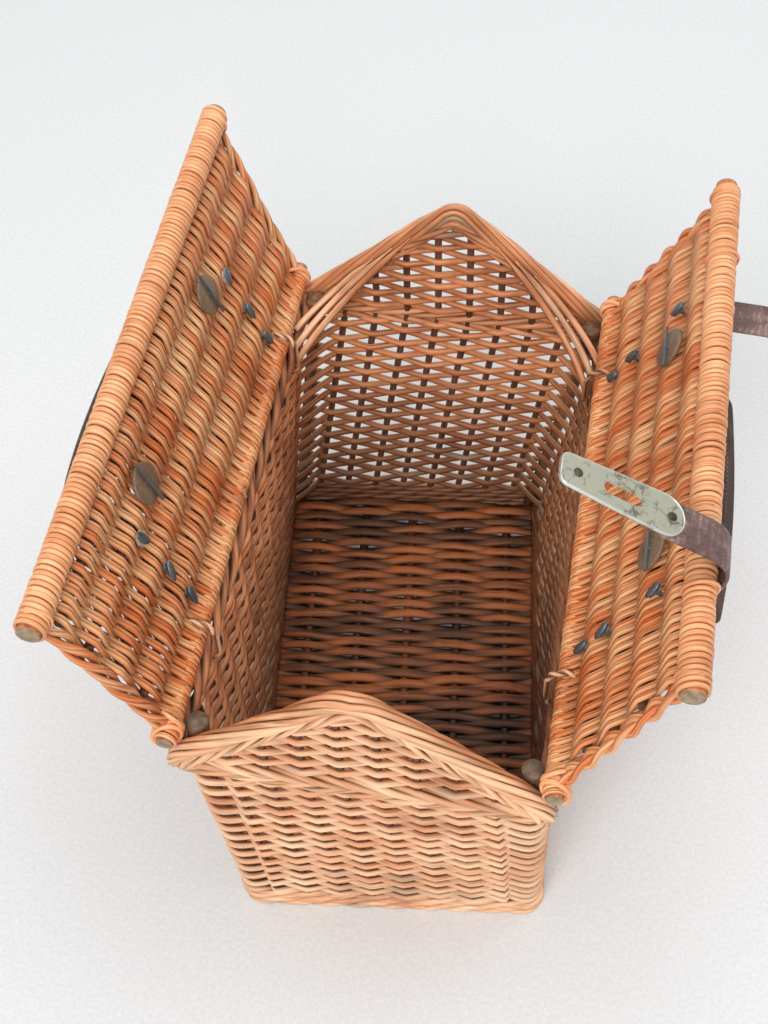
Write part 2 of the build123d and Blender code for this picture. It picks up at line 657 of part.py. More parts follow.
    # Handle: a flat stitched grip whose two lugs hang on the eyes
    fall = radians(droop)
    reach_dir = Vector(side * cos(fall), 0, -sin(fall))
    pivot = on_lid(frame, HANDLE_PLACE, 0, HANDLE_PIVOT)
    grip_plane = Plane(origin=pivot, x_dir=(0, 1, 0), z_dir=Vector(0, 1, 0).cross(reach_dir))
    half_grip = HANDLE_LENGTH / 2
    with BuildPart() as handle:
        with BuildSketch(grip_plane) as grip:
            outer_arch = arch(half_grip, HANDLE_END_REACH, HANDLE_REACH, HANDLE_RUNS)
            inner_arch = arch(half_grip, HANDLE_INNER_END_REACH, HANDLE_INNER_REACH, HANDLE_RUNS)
            Polygon(*outer_arch, *reversed(inner_arch), align=None)
            grip_ends = grip.vertices().group_by(Axis.X)
            chamfer(grip_ends[0] + grip_ends[-1], HANDLE_CORNER)
        extrude(amount=HANDLE_THICKNESS / 2, both=True)
        chamfer(handle.faces().sort_by(SortBy.AREA)[-2:].edges(), HANDLE_BEVEL)
        with BuildSketch(grip_plane):
            for along in eye_places:
                Polygon(
                    (along - LUG_WIDTH / 2, 0),
                    (along + LUG_WIDTH / 2, 0),
                    (along + LUG_WIDTH / 2, LUG_DIAMETER / 2),
                    (along + LUG_SHOULDER / 2, HANDLE_INNER_END_REACH),
                    (along + LUG_SHOULDER / 2, HANDLE_INNER_REACH),
                    (along - LUG_SHOULDER / 2, HANDLE_INNER_REACH),
                    (along - LUG_SHOULDER / 2, HANDLE_INNER_END_REACH),
                    (along - LUG_WIDTH / 2, LUG_DIAMETER / 2),
                    align=None,
                )
        extrude(amount=HANDLE_THICKNESS / 4, both=True)
        half_lug = Vector(0, LUG_WIDTH / 2, 0)
        for along in eye_places:
            centre = pivot + Vector(0, along, 0)
            stick(centre - half_lug, centre + half_lug, LUG_DIAMETER, faces=RING_FACES)
            bore(centre - half_lug, centre + half_lug, LUG_BORE)
    save(handle.part, f"{name}_handle")

    # Straps pinned along the outer face, through slots in the weave
    strap_end = LEFT_STRAP_END if side == LEFT else STRAP_ROOT - STRAP_HALF - FIT
    with BuildPart() as straps:
        for along in strap_places:
            with BuildSketch(lid_plane(frame, 0, along, STRAP_ON_LID)):
                with Locations(((STRAP_START + strap_end) / 2, 0)):
                    Rectangle(strap_end - STRAP_START, STRAP_WIDTH)
                with Locations([(reach, 0) for reach in pin_places]):
                    RegularPolygon(PIN_DIAMETER / 2 + BORE_FIT, STICK_FACES, mode=Mode.SUBTRACT)
                if side == LEFT:
                    with Locations((STAPLE_PLACE, 0)):
                        RegularPolygon(STAPLE_STEM / 2 + BORE_FIT, PIN_FACES, mode=Mode.SUBTRACT)
            extrude(amount=STRAP_HALF, both=True)
    save(straps.part, "left_straps" if side == LEFT else "right_strap_bases")

    strap_face = STRAP_ON_LID + STRAP_HALF
    with BuildPart() as strap_pins:
        for reach, along in pins:
            tail_top = on_lid(frame, reach, along, -LID_FACE)
            with BuildSketch(lid_plane(frame, reach, along, -LID_FACE)):
                RegularPolygon(PIN_DIAMETER / 2, STICK_FACES)
            extrude(amount=LID_FACE + strap_face)
            half_tail, half_width = PIN_TAIL_LENGTH / 2, PIN_TAIL_WIDTH / 2
            with BuildSketch(lid_plane(frame, reach, along, -LID_FACE)):
                with BuildLine():
                    Polyline(
                        (half_tail, 0),
                        (half_tail - half_width, half_width),
                        (half_width - half_tail, half_width),
                        (-half_tail, 0),
                        (half_width - half_tail, -half_width),
                        (half_tail - half_width, -half_width),
                        close=True,
                    )
                make_face()
            extrude(amount=-PIN_TAIL_THICKNESS)
            with BuildSketch(lid_plane(frame, reach, along, strap_face)):
                RegularPolygon(PIN_HEAD_DIAMETER / 2, PIN_FACES)
            extrude(amount=PIN_HEAD_HEIGHT, taper=PIN_HEAD_TAPER)
    save(strap_pins.part, f"{name}_strap_pins")

# Staple plates on the left straps, and the staples that turn in them
left_frame = lid_frame(LEFT, LEFT_LID_ANGLE)
plate_seat = STRAP_ON_LID + STRAP_HALF
with BuildPart() as staple_plates:
    for along in strap_places:
        with BuildSketch(lid_plane(left_frame, STAPLE_PLACE, along, plate_seat)) as plate:
            Rectangle(STAPLE_PLATE_LENGTH, STAPLE_PLATE_WIDTH)
            chamfer(plate.vertices(), STAPLE_PLATE_CORNER)
            RegularPolygon(STAPLE_STEM / 2 + BORE_FIT, PIN_FACES, mode=Mode.SUBTRACT)
        extrude(amount=STAPLE_PLATE_THICKNESS)
save(staple_plates.part, "staple_plates")

head_base = STRAP_ON_ROD + STRAP_HALF + HASP_THICKNESS + HASP_CLEARANCE
for along, name in ((FRONT_STRAP_PLACE, "front"), (REAR_STRAP_PLACE, "rear")):
    washer_seat = -LID_FACE - FIT
    with BuildPart() as turn_staple:
        with BuildSketch(lid_plane(left_frame, STAPLE_PLACE, along, washer_seat)):
            RegularPolygon(STAPLE_STEM / 2, PIN_FACES)
        extrude(amount=head_base - washer_seat)
        with BuildSketch(lid_plane(left_frame, STAPLE_PLACE, along, washer_seat)):
            RegularPolygon(STAPLE_WASHER_DIAMETER / 2, PIN_FACES)
        extrude(amount=-STAPLE_PLATE_THICKNESS)
        with BuildSketch(lid_plane(left_frame, STAPLE_PLACE, along, head_base)):
            Rectangle(STAPLE_HEAD_LENGTH, STAPLE_HEAD_WIDTH)
        extrude(amount=STAPLE_HEAD_HEIGHT)
    save(turn_staple.part, f"{name}_turn_staple")


# Hasp straps: a link that bends at the pinned strap and a tail that folds over the ridge
def bent(section, reach, outward, bend):
    """A section plane moved to a pivot and turned inward by a bend in degrees."""
    turn = radians(bend)
    return Plane(
        origin=section.from_local_coords(Vector(reach, outward, 0)),
        x_dir=section.x_dir * cos(turn) - section.y_dir * sin(turn),
        z_dir=section.z_dir,
    )


right_frame = lid_frame(RIGHT, RIGHT_LID_ANGLE)
for name, along, root_bend, fold_bend in (
    ("front", FRONT_STRAP_PLACE, FRONT_ROOT_BEND, FRONT_FOLD_BEND),
    ("rear", REAR_STRAP_PLACE, REAR_ROOT_BEND, REAR_FOLD_BEND),
):
    link_plane = bent(lid_section(right_frame, along), STRAP_ROOT, STRAP_ON_LID, root_bend)
    link_length = STRAP_FOLD - STRAP_ROOT
    climb = STRAP_ON_ROD - STRAP_ON_LID
    climb_start = LID_WIDTH - OUTER_WRAP - STRAP_RAMP - STRAP_ROOT
    tail_plane = bent(link_plane, link_length, climb, fold_bend)

    with BuildPart() as strap_link:
        with BuildSketch(link_plane):
            Circle(STRAP_HALF)
            link_end = link_length - STRAP_HALF - FIT
            middle = [(0, 0), (climb_start, 0), (climb_start + STRAP_RAMP, climb), (link_end, climb)]
            outer_side = [(u, w + STRAP_HALF) for u, w in middle]
            inner_side = [(u, w - STRAP_HALF) for u, w in reversed(middle)]
            Polygon(*outer_side, *inner_side, align=None)
        extrude(amount=STRAP_WIDTH / 2, both=True)
    save(strap_link.part, f"{name}_strap_link")

    with BuildPart() as strap_tail:
        with BuildSketch(tail_plane):
            Circle(STRAP_HALF)
            with Locations((STRAP_TAIL / 2, 0)):
                Rectangle(STRAP_TAIL, STRAP_THICKNESS)
        extrude(amount=STRAP_WIDTH / 2, both=True)
        with BuildSketch(Plane(origin=tail_plane.origin, x_dir=tail_plane.x_dir, z_dir=tail_plane.y_dir)):
            with Locations((RIVET_PLACES[0], 0)):
                RegularPolygon(RIVET_DIAMETER / 2 + BORE_FIT, STICK_FACES)
        extrude(amount=STRAP_THICKNESS, both=True, mode=Mode.SUBTRACT)
    save(strap_tail.part, f"{name}_strap_tail")

    hasp_seat = tail_plane.from_local_coords(Vector(0, STRAP_HALF, 0))
    hasp_plane = Plane(origin=hasp_seat, x_dir=tail_plane.x_dir, z_dir=tail_plane.y_dir)
    hasp_end = HASP_START + HASP_LENGTH
    with BuildPart() as hasp:
        with BuildSketch(hasp_plane) as plate:
            round_end = HASP_START + HASP_WIDTH / 2
            Polygon(
                (round_end, -HASP_WIDTH / 2),
                (hasp_end, -HASP_END_WIDTH / 2),
                (hasp_end, HASP_END_WIDTH / 2),
                (round_end, HASP_WIDTH / 2),
                align=None,
            )
            chamfer(plate.vertices().group_by(Axis.X)[-1], HASP_TIP_CORNER)
            with Locations((round_end, 0)):
                RegularPolygon(HASP_WIDTH / 2, RING_FACES)
            with Locations((SLOT_PLACE, 0)):
                slot_corners = slot_outline((SLOT_LENGTH - SLOT_WIDTH) / 2, SLOT_WIDTH / 2, PIN_FACES)
                Polygon(*slot_corners, align=None, mode=Mode.SUBTRACT)
            with Locations([(place, 0) for place in RIVET_PLACES]):
                RegularPolygon(RIVET_DIAMETER / 2 + BORE_FIT, STICK_FACES, mode=Mode.SUBTRACT)
        extrude(amount=HASP_THICKNESS)
    save(hasp.part, f"{name}_hasp")

    with BuildPart() as hasp_rivets:
        for place, back in zip(RIVET_PLACES, (-STRAP_HALF, STRAP_HALF)):
            face = STRAP_HALF + HASP_THICKNESS
            foot, top = (tail_plane.from_local_coords(Vector(place, height, 0)) for height in (back, face))
            stick(foot, top, RIVET_DIAMETER)
            outward = tail_plane.y_dir * RIVET_HEAD_HEIGHT
            stick(top, top + outward, RIVET_HEAD_DIAMETER)
            stick(foot - outward, foot, RIVET_HEAD_DIAMETER)
    save(hasp_rivets.part, f"{name}_hasp_rivets")
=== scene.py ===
# %% [markdown]
# # A wicker lunch basket
# The real basket is woven from willow rods over upright stakes, with two lids that hang on
# twisted loops, leather grips and leather hasp straps. The CAD model gives the frame: where
# each part is and how it moves. Here every woven panel becomes separate rods, worked out
# as whole arrays of numbers, so that light falls through the gaps as it does on the real one.

import bpy
import mathutils
import numpy as np
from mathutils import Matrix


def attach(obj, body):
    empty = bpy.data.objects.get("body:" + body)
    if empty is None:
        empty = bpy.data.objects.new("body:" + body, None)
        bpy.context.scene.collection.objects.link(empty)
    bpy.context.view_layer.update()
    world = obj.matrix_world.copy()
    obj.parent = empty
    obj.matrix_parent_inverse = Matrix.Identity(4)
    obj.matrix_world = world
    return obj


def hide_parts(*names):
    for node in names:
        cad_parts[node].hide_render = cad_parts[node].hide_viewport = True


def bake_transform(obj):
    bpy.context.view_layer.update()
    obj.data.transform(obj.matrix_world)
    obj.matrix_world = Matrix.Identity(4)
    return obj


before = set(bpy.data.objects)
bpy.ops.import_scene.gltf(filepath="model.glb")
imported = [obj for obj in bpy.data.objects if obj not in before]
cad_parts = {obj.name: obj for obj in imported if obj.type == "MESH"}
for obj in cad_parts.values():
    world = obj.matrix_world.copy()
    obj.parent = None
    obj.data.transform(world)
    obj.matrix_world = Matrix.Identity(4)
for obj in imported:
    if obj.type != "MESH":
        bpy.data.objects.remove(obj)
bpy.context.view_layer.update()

# %% [markdown]
# ## Sizes shared with the CAD
# The frame can't hand over its driving sizes, so the few that the weave follows are repeated
# here, in millimetres. The base of the old basket has turned and slipped under its rim, which
# makes each wall a ruled surface between two rectangles.

# %% Sizes in millimetres
RIM_HEIGHT, BASE_TURN, BASE_SHIFT = 191.0, np.radians(7.0), -8.0
RIM_HALF, BASE_HALF = np.array([100.0, 170.0]), np.array([93.5, 159.5])
WALL, EAVE = 8.5, 200.0
HINGE = np.array([100.0, 213.0])
LID_WIDTH, LID_ANGLES = 120.0, {"left": 68.0, "right": 63.5}
ROD_LENGTHS, HINGE_ROD, BARE_END = {"left": 364.0, "right": 330.0}, 344.0, 14.7
SIDES = {"left": -1.0, "right": 1.0}
ACROSS, ALONG, UP = np.eye(3)
TAU = 2 * np.pi
END_PITCH, SIDE_PITCH, RIB_PITCH = 20.0, 22.0, 34.0
WEAVE_LIFT, TIGHT_BEND, CORNER_BEND = 2.5, 0.985, 9.0
ENDS = {"front": (-1.0, 290.0, 25.0), "rear": (1.0, 288.0, 14.0)}
chance = np.random.default_rng(11)


def points_at(x, y, z):
    """Points from their coordinates, of which some may be single numbers."""
    return np.stack(np.broadcast_arrays(x, y, z), -1)


def wall_point(across, along, height):
    """World point of a place in the turned axes of one height.

    s = 1 - z / rim, angle = base turn * s,
    x = across cos - along sin + shift * s, y = across sin + along cos.
    """
    share = np.clip(1 - height / RIM_HEIGHT, 0, 1)
    c, s = np.cos(BASE_TURN * share), np.sin(BASE_TURN * share)
    x = across * c - along * s + BASE_SHIFT * share
    y = across * s + along * c
    return points_at(x, y, height)


def half_size(height):
    """Half width and half length over the walls: a straight blend from base to rim."""
    share = np.clip(np.asarray(height) / RIM_HEIGHT, 0, 1)[..., None]
    return BASE_HALF + (RIM_HALF - BASE_HALF) * share


# %% [markdown]
# ## Rods as swept surfaces
# A rod is a surface of two parameters: distance along its path and angle round it. All rods
# of a panel share one sampling, so a panel is a single array of shape rods x samples x
# angles. Sweeping a profile by hand like this is quicker than thousands of curve objects,
# and each vertex can carry what the material needs: which rod it is, which side faces out,
# and how deep it dives between its neighbours.

# %% Sweep profiles along many paths at once
def unit(vectors):
    """Vectors divided by their lengths."""
    return vectors / np.maximum(np.linalg.norm(vectors, axis=-1, keepdims=True), 1e-12)


def directions(angle):
    """Flat directions (cos a, sin a)."""
    return np.stack([np.cos(angle), np.sin(angle)], -1)


def lengths(line):
    """Distance along a line up to each of its points."""
    return np.append(0, np.cumsum(np.linalg.norm(np.diff(line, axis=0), axis=1)))


def along_line(place, run, line):
    """Flat points of a line, read at given distances along it."""
    return np.stack([np.interp(place, run, line[:, axis]) for axis in (0, 1)], -1)


def curved(before, corner, after, steps=14):
    """Quadratic curve (1 - t)^2 A + 2 t (1 - t) C + t^2 B round a corner C."""
    t = np.linspace(0, 1, steps)[:, None]
    return (1 - t) ** 2 * before + 2 * t * (1 - t) * corner + t ** 2 * after


def zigzag(turn, sharp=0.94):
    """Rounded triangle wave, arcsin(k cos t) / arcsin(k): straight runs with tight bends."""
    return np.arcsin(sharp * np.cos(turn)) / np.arcsin(sharp)


def circle(sides):
    """Profile of unit width and height: (cos a, sin a) / 2."""
    return directions(TAU * np.arange(sides) / sides) / 2


def soft_bar(sides, power=5.0):
    """Superellipse profile: |2u|^p + |2v|^p = 1, a bar with rounded edges."""
    around = directions(TAU * (np.arange(sides) + 0.5) / sides)
    return around * (np.abs(around) ** power).sum(-1, keepdims=True) ** (-1 / power) / 2


def waver(size, phase, rows):
    """Slow drift of each row, size sin(phase + start), from a start of its own."""
    return size * np.sin(phase + 6.28 * chance.random((rows, 1)))


def varied(middle, spread, rows):
    """One number for each row, spread evenly about their middle."""
    return middle + spread * (chance.random((rows, 1)) - 0.5)


def dips(offset, lift):
    """Sink of a weaver: 0 where it is lifted over a stake, 1 where it passes between two."""
    return np.clip(1 - np.abs(offset) / lift, 0, 1) ** 2


def tapered(run, taper):
    """Share of the full girth along a rod whose ends narrow over a length of taper."""
    return np.clip(np.minimum(run, run[-1] - run) / taper, 0.25, 1) ** 0.5


def sweep(paths, normals, wide, thick, profile=None, closed=False, sink=0.0, edge=0.0):
    """Surface P(i) + b(i) wide u(k) + n(i) thick v(k) for each path P with normals n.

    b = t x n, where t is the path's direction. Returns the arrays that a mesh needs. The sides
    of a rod sink by edge (4 |u| - 1), which the material paints as shade where two rods touch.
    """
    profile = circle(6) if profile is None else profile
    paths = np.asarray(paths, float)
    normals = np.broadcast_to(normals, paths.shape)
    if closed:
        ahead = np.roll(paths, -1, 1) - np.roll(paths, 1, 1)
    else:
        ahead = np.gradient(paths, axis=1)
    ahead = unit(ahead)
    normal = unit(normals - ahead * (normals * ahead).sum(-1, keepdims=True))
    beside = np.cross(ahead, normal)
    rods, steps, turns = *paths.shape[:2], len(profile)
    wide = np.broadcast_to(wide, (rods, steps))[..., None, None]
    thick = np.broadcast_to(thick, (rods, steps))[..., None, None]
    ring = beside[:, :, None] * (wide * profile[:, :1]) + normal[:, :, None] * (thick * profile[:, 1:])
    points = paths[:, :, None] + ring
    number = np.arange(rods * steps * turns).reshape(rods, steps, turns)
    ahead_number = np.roll(number, -1, 1) if closed else number[:, 1:]
    here = number if closed else number[:, :-1]
    quads = np.stack([here, ahead_number, np.roll(ahead_number, -1, 2), np.roll(here, -1, 2)], -1)
    stride = np.linalg.norm(np.diff(paths, axis=1, append=paths[:, :1]), axis=-1)
    run = np.concatenate([np.zeros((rods, 1)), np.cumsum(stride, 1)], 1)
    low, high = run[:, : here.shape[1]], run[:, 1 : here.shape[1] + 1]
    around = np.arange(turns + 1) / turns
    shape = here.shape
    u = np.stack([np.broadcast_to(side[..., None], shape) for side in (low, high, high, low)], -1)
    before, after = around[:-1], around[1:]
    v = np.stack([np.broadcast_to(side, shape) for side in (before, before, after, after)], -1)
    uv = np.stack([u / 1000, v], -1).reshape(-1, 2)
    caps = np.zeros((0, turns), int) if closed else np.concatenate([number[:, 0], number[:, -1, ::-1]])
    tone = np.broadcast_to(chance.random(rods)[:, None, None], number.shape)
    outward = np.broadcast_to(2 * profile[:, 1], number.shape)
    # The sink of the dips and of the sides darkens the colour in the material: painted shade, with some
    # dirt, in the crevices.
    sides = edge * np.clip(4 * np.abs(profile[:, 0]) - 1, 0, 1)
    depth = np.broadcast_to(sink, (rods, steps))[..., None] + sides
    return {
        "points": points.reshape(-1, 3), "quads": quads.reshape(-1, 4), "caps": caps, "uv": uv,
        "tone": tone.ravel(), "outward": outward.ravel(), "sink": depth.ravel(),
    }


def add_object(name, data):
    """A new object in the scene."""
    made = bpy.data.objects.new(name, data)
    bpy.context.scene.collection.objects.link(made)
    return made


def make_piece(name, parts, body, material, *nodes):
    """One mesh from several swept surfaces, in place of CAD nodes, riding on a CAD body.

    Its slot follows from its material. A number after a material's name is Blender's own,
    added where the frame has a material of that name.
    """
    quads, rings, start = [], [], 0
    for part in parts:
        quads.append(part["quads"] + start)
        rings += [ring + start for ring in part["caps"]]
        start += len(part["points"])
    points = np.concatenate([part["points"] for part in parts]) / 1000
    quads = np.concatenate(quads)
    corners = np.concatenate([quads.ravel(), *rings])
    totals = np.concatenate([np.full(len(quads), 4), [len(ring) for ring in rings]]).astype(int)
    starts = np.concatenate([[0], np.cumsum(totals)[:-1]])
    mesh = bpy.data.meshes.new(name)
    mesh.vertices.add(len(points))
    mesh.vertices.foreach_set("co", points.ravel())
    mesh.loops.add(len(corners))
    mesh.loops.foreach_set("vertex_index", corners)
    mesh.polygons.add(len(totals))
    mesh.polygons.foreach_set("loop_start", starts)
    mesh.polygons.foreach_set("use_smooth", np.full(len(totals), True))
    uv = np.zeros((len(corners), 2))
    made = np.concatenate([part["uv"] for part in parts])
    uv[: len(made)] = made
    mesh.uv_layers.new(name="Rods").data.foreach_set("uv", uv.ravel())
    for key in ("tone", "outward", "sink"):
        values = np.concatenate([part[key] for part in parts]).astype(np.float32)
        mesh.attributes.new(key, "FLOAT", "POINT").data.foreach_set("value", values)
    mesh.update()
    mesh.validate()
    mesh.materials.append(material)
    piece = add_object(name, mesh)
    if body:
        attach(piece, body)
    if nodes:
        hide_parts(*nodes)
    print(f"{name}: {len(points)} points, {len(quads)} quads")
    return piece


# %% [markdown]
# ## Materials as sums
# A material is a small sum over the surface. The class below wraps a node's output so that
# ordinary Python operators add Math nodes, and one method adds any other node. Colours go
# through Mix nodes, because a Math node would turn them grey.

# %% A socket that understands arithmetic
class Reading:
    """A value that changes over the surface."""

    def __init__(self, tree, socket):
        self.tree, self.socket = tree, socket

    def feed(self, target, value):
        """Links a reading to a socket, or writes a plain value there."""
        if isinstance(value, Reading):
            self.tree.links.new(value.socket, target)
        else:
            target.default_value = value

    def node(self, kind, settings=(), output=0, **values):
        """Any node: its settings first, then the values or links of its sockets."""
        made = self.tree.nodes.new("ShaderNode" + kind)
        for key, value in dict(settings).items():
            setattr(made, key, value)
        for key, value in values.items():
            place = int(key[1:]) if key[0] == "i" and key[1:].isdigit() else key.replace("_", " ")
            self.feed(made.inputs[place], value)
        return Reading(self.tree, made.outputs[output])

    def sum(self, operation, *values):
        """A Math node on numbers or readings."""
        spots = {f"i{place}": value for place, value in enumerate(values)}
        return self.node("Math", {"operation": operation}, **spots)

    def __add__(self, other): return self.sum("ADD", self, other)
    def __radd__(self, other): return self.sum("ADD", other, self)
    def __sub__(self, other): return self.sum("SUBTRACT", self, other)
    def __rsub__(self, other): return self.sum("SUBTRACT", other, self)
    def __mul__(self, other): return self.sum("MULTIPLY", self, other)
    def __rmul__(self, other): return self.sum("MULTIPLY", other, self)
    def __pow__(self, other): return self.sum("POWER", self, other)

    def apply(self, operation):
        """A Math node on this reading alone."""
        return self.sum(operation, self)

    def axis(self, number):
        """One coordinate of a place."""
        return self.node("SeparateXYZ", output=number, Vector=self)

    def noise(self, scale, detail, rough=0.5, output=0):
        """Noise read at this place."""
        return self.node(
            "TexNoise", output=output, Vector=self, Scale=scale, Detail=detail, Roughness=rough
        )

    def step(self, low, high):
        """Smooth rise from 0 at low to 1 at high."""
        return self.node(
            "MapRange", {"interpolation_type": "SMOOTHSTEP"},
            Value=self, From_Min=low, From_Max=high,
        )

    def mix(self, first, second):
        """The first colour where this reading is 0 and the second where it is 1."""
        first, second = (end if isinstance(end, Reading) else linear(end) for end in (first, second))
        return self.node("Mix", {"data_type": "RGBA"}, output=2, i0=self, i6=first, i7=second)


def linear(colour):
    """Linear values and alpha of a colour that was picked as 0-255 screen values."""
    share = np.array(colour) / 255
    curve = np.where(share <= 0.04045, share / 12.92, ((share + 0.055) / 1.055) ** 2.4)
    return (*curve.tolist(), 1)


def new_material(name):
    """An empty Principled material, a starting reading, its shader and its Object coordinates."""
    material = bpy.data.materials.new(name)
    material.use_nodes = True
    shader = material.node_tree.nodes["Principled BSDF"]
    read = Reading(material.node_tree, None)
    return material, read, shader, read.node("TexCoord", output=3)


def dress(shader, colour, rough, height, strength, distance):
    """Feeds colour, roughness and a bump, whose distance is in metres, to a shader."""
    colour.feed(shader.inputs["Base Color"], colour)
    colour.feed(shader.inputs["Roughness"], rough)
    bump = height.node("Bump", Height=height, Strength=strength, Distance=distance)
    colour.feed(shader.inputs["Normal"], bump)


# %% [markdown]
# ## Willow
# Peeled willow is pale and satin when new and goes orange, then brown. Each rod has its own
# tone, and fine streaks run along it. Where rods dive under each other and along their sides,
# the colour darkens as painted shade mixed with dirt. The rod's own map gives the streaks, and
# the attributes give each rod's tone and the painted shade and dirt of the dips.

# %% Willow, in the shades of the outside, the lids and the floor
def willow(name, pale, deep, dark, inner=None, dip_shade_and_dirt=0.5, gloss=0.42, vary=0.6, grey=0.0, groove=0.0):
    """Rod colour from three shades: pale and deep by rod, dark in the dips, as painted shade mixed with
    dirt, and in the streaks.

    groove paints a dark line of shade along the top of a rod, so that it reads as a pair of thin ones.
    """
    material, read, shader, place = new_material(name)
    tone, sink, outward = (
        read.node("Attribute", {"attribute_name": key}, output=2) for key in ("tone", "sink", "outward")
    )
    rod = read.node("UVMap", {"uv_map": "Rods"})
    across = rod.axis(1)
    grain = read.node("CombineXYZ", X=rod.axis(0) * 18.0, Y=across * 5.0, Z=tone * 61.0)
    streak = grain.noise(1.6, 4.0, 0.6)
    patch = place.noise(22.0, 3.0)
    shade = tone * vary + (streak - 0.5) * 1.5 + (patch - 0.5) * 1.1 + 0.5 - vary / 2
    colour = shade.step(0.0, 1.0).mix(pale, deep)
    # Faces that point into the basket take the inner colours, partly the willow's own and partly painted
    # shade. A further painted shade darkens them towards the bottom and on the inside of the right wall.
    if inner:
        painted_inner_shade = place.axis(2).step(0.2, 0.0) * 0.85 + place.axis(0).step(0.072, 0.09) * 0.6
        inside = painted_inner_shade.mix(shade.step(0.0, 1.0).mix(*inner), dark)
        colour = outward.step(0.35, -0.35).mix(colour, inside)
    if grey:
        aged = (tone * 7.3).apply("FRACT").step(0.82, 0.95) * patch.step(0.4, 0.6) * grey
        colour = aged.mix(colour, (168, 156, 134))
    # Painted shade mixed with dirt where the sink attribute is high, plus the willow's own dark streaks
    # and patches.
    shade_and_dirt = sink * dip_shade_and_dirt + streak.step(0.52, 0.76) * 0.45 + patch.step(0.5, 0.8) * 0.3
    colour = shade_and_dirt.node("Clamp", Value=shade_and_dirt).mix(colour, dark)
    height = streak
    # The groove line is painted shade in the crease between two thin rods, with a dip in the bump.
    if groove:
        line = ((across * 2.0).apply("FRACT") - 0.5).apply("ABSOLUTE").step(0.13, 0.02)
        colour = (line * groove).mix(colour, dark)
        height = streak - line * 1.5
    dress(shader, colour, streak * 0.25 + gloss, height, 0.35, 0.0004)
    return material


outer_willow = willow(
    "outer_willow", (255, 214, 172), (236, 158, 112), (98, 60, 36),
    inner=((250, 168, 112), (184, 106, 60)), dip_shade_and_dirt=0.6, vary=0.4, grey=0.5,
)
border_willow = willow(
    "border_willow", (255, 208, 164), (206, 132, 86), (92, 60, 38),
    inner=((236, 164, 116), (176, 106, 64)), dip_shade_and_dirt=0.8, vary=0.6, grey=0.6,
)
lid_willow = willow(
    "lid_willow", (255, 198, 142), (230, 118, 54), (84, 44, 22),
    dip_shade_and_dirt=0.5, gloss=0.24, vary=0.5, groove=0.5,
)
wrap_willow = willow(
    "wrap_willow", (252, 194, 142), (224, 140, 88), (112, 66, 38), dip_shade_and_dirt=0.4, gloss=0.3, vary=0.3
)
# The floor's willow is a much darker copy of the wall willow: painted shade of the basket's inside.
floor_willow = willow(
    "floor_willow", (190, 106, 50), (98, 58, 30), (34, 22, 13), dip_shade_and_dirt=0.8, vary=0.8
)
print("willow materials:", len(bpy.data.materials))

# %% [markdown]
# ## Walls
# One row of weaving is a closed loop round the basket: over one stake, under the next, and
# round the corner posts. The offset from the wall's middle is a cosine whose half wave is
# one stake spacing, and every other row is shifted by one stake.

# %% Rows of randing round all four walls
END_STAKES, SIDE_STAKES = (np.arange(8) - 3.5) * END_PITCH, (np.arange(13) - 6.0) * SIDE_PITCH
CORNERS, CORNER_WAYS = (0, 14, 23, 37), np.array([[1, -1], [1, 1], [-1, 1], [-1, -1]])


def rounded_loop(half, steps=10):
    """Points and outward normals of a closed rounded rectangle, from a front corner's arc on.

    Each corner is an arc c + r (cos a, sin a) about its centre, and the straights join them.
    """
    angles = np.linspace(0, np.pi / 2, steps)
    points, normals = [], []
    for turn, way in zip((-1.0, 0.0, 1.0, 2.0), CORNER_WAYS):
        normal = directions(angles + turn * np.pi / 2)
        points.append((half - CORNER_BEND) * way + CORNER_BEND * normal)
        normals.append(normal)
    return [np.concatenate([*arcs, arcs[0][:1]]) for arcs in (points, normals)]


def on_wall(place, out, height):
    """World points of places in the turned axes, and their outward directions."""
    points = wall_point(*place.T, height)
    return points, unit(wall_point(*(place + out).T, height) - points)


def crossing_places(half):
    """Arc lengths of all stakes and corners along the loop, starting at the front right arc."""
    arc, (wide, long) = np.pi * CORNER_BEND / 2, half - CORNER_BEND
    side_start, rear_start = arc, arc + 2 * long + arc
    left_start, front_start = rear_start + 2 * wide + arc, rear_start + 2 * wide + 2 * arc + 2 * long
    return np.concatenate([
        [arc / 2], side_start + long + SIDE_STAKES, [rear_start - arc / 2], rear_start + wide + END_STAKES,
        [left_start - arc / 2], left_start + long + SIDE_STAKES, [front_start - arc / 2],
        front_start + wide + END_STAKES,
    ])


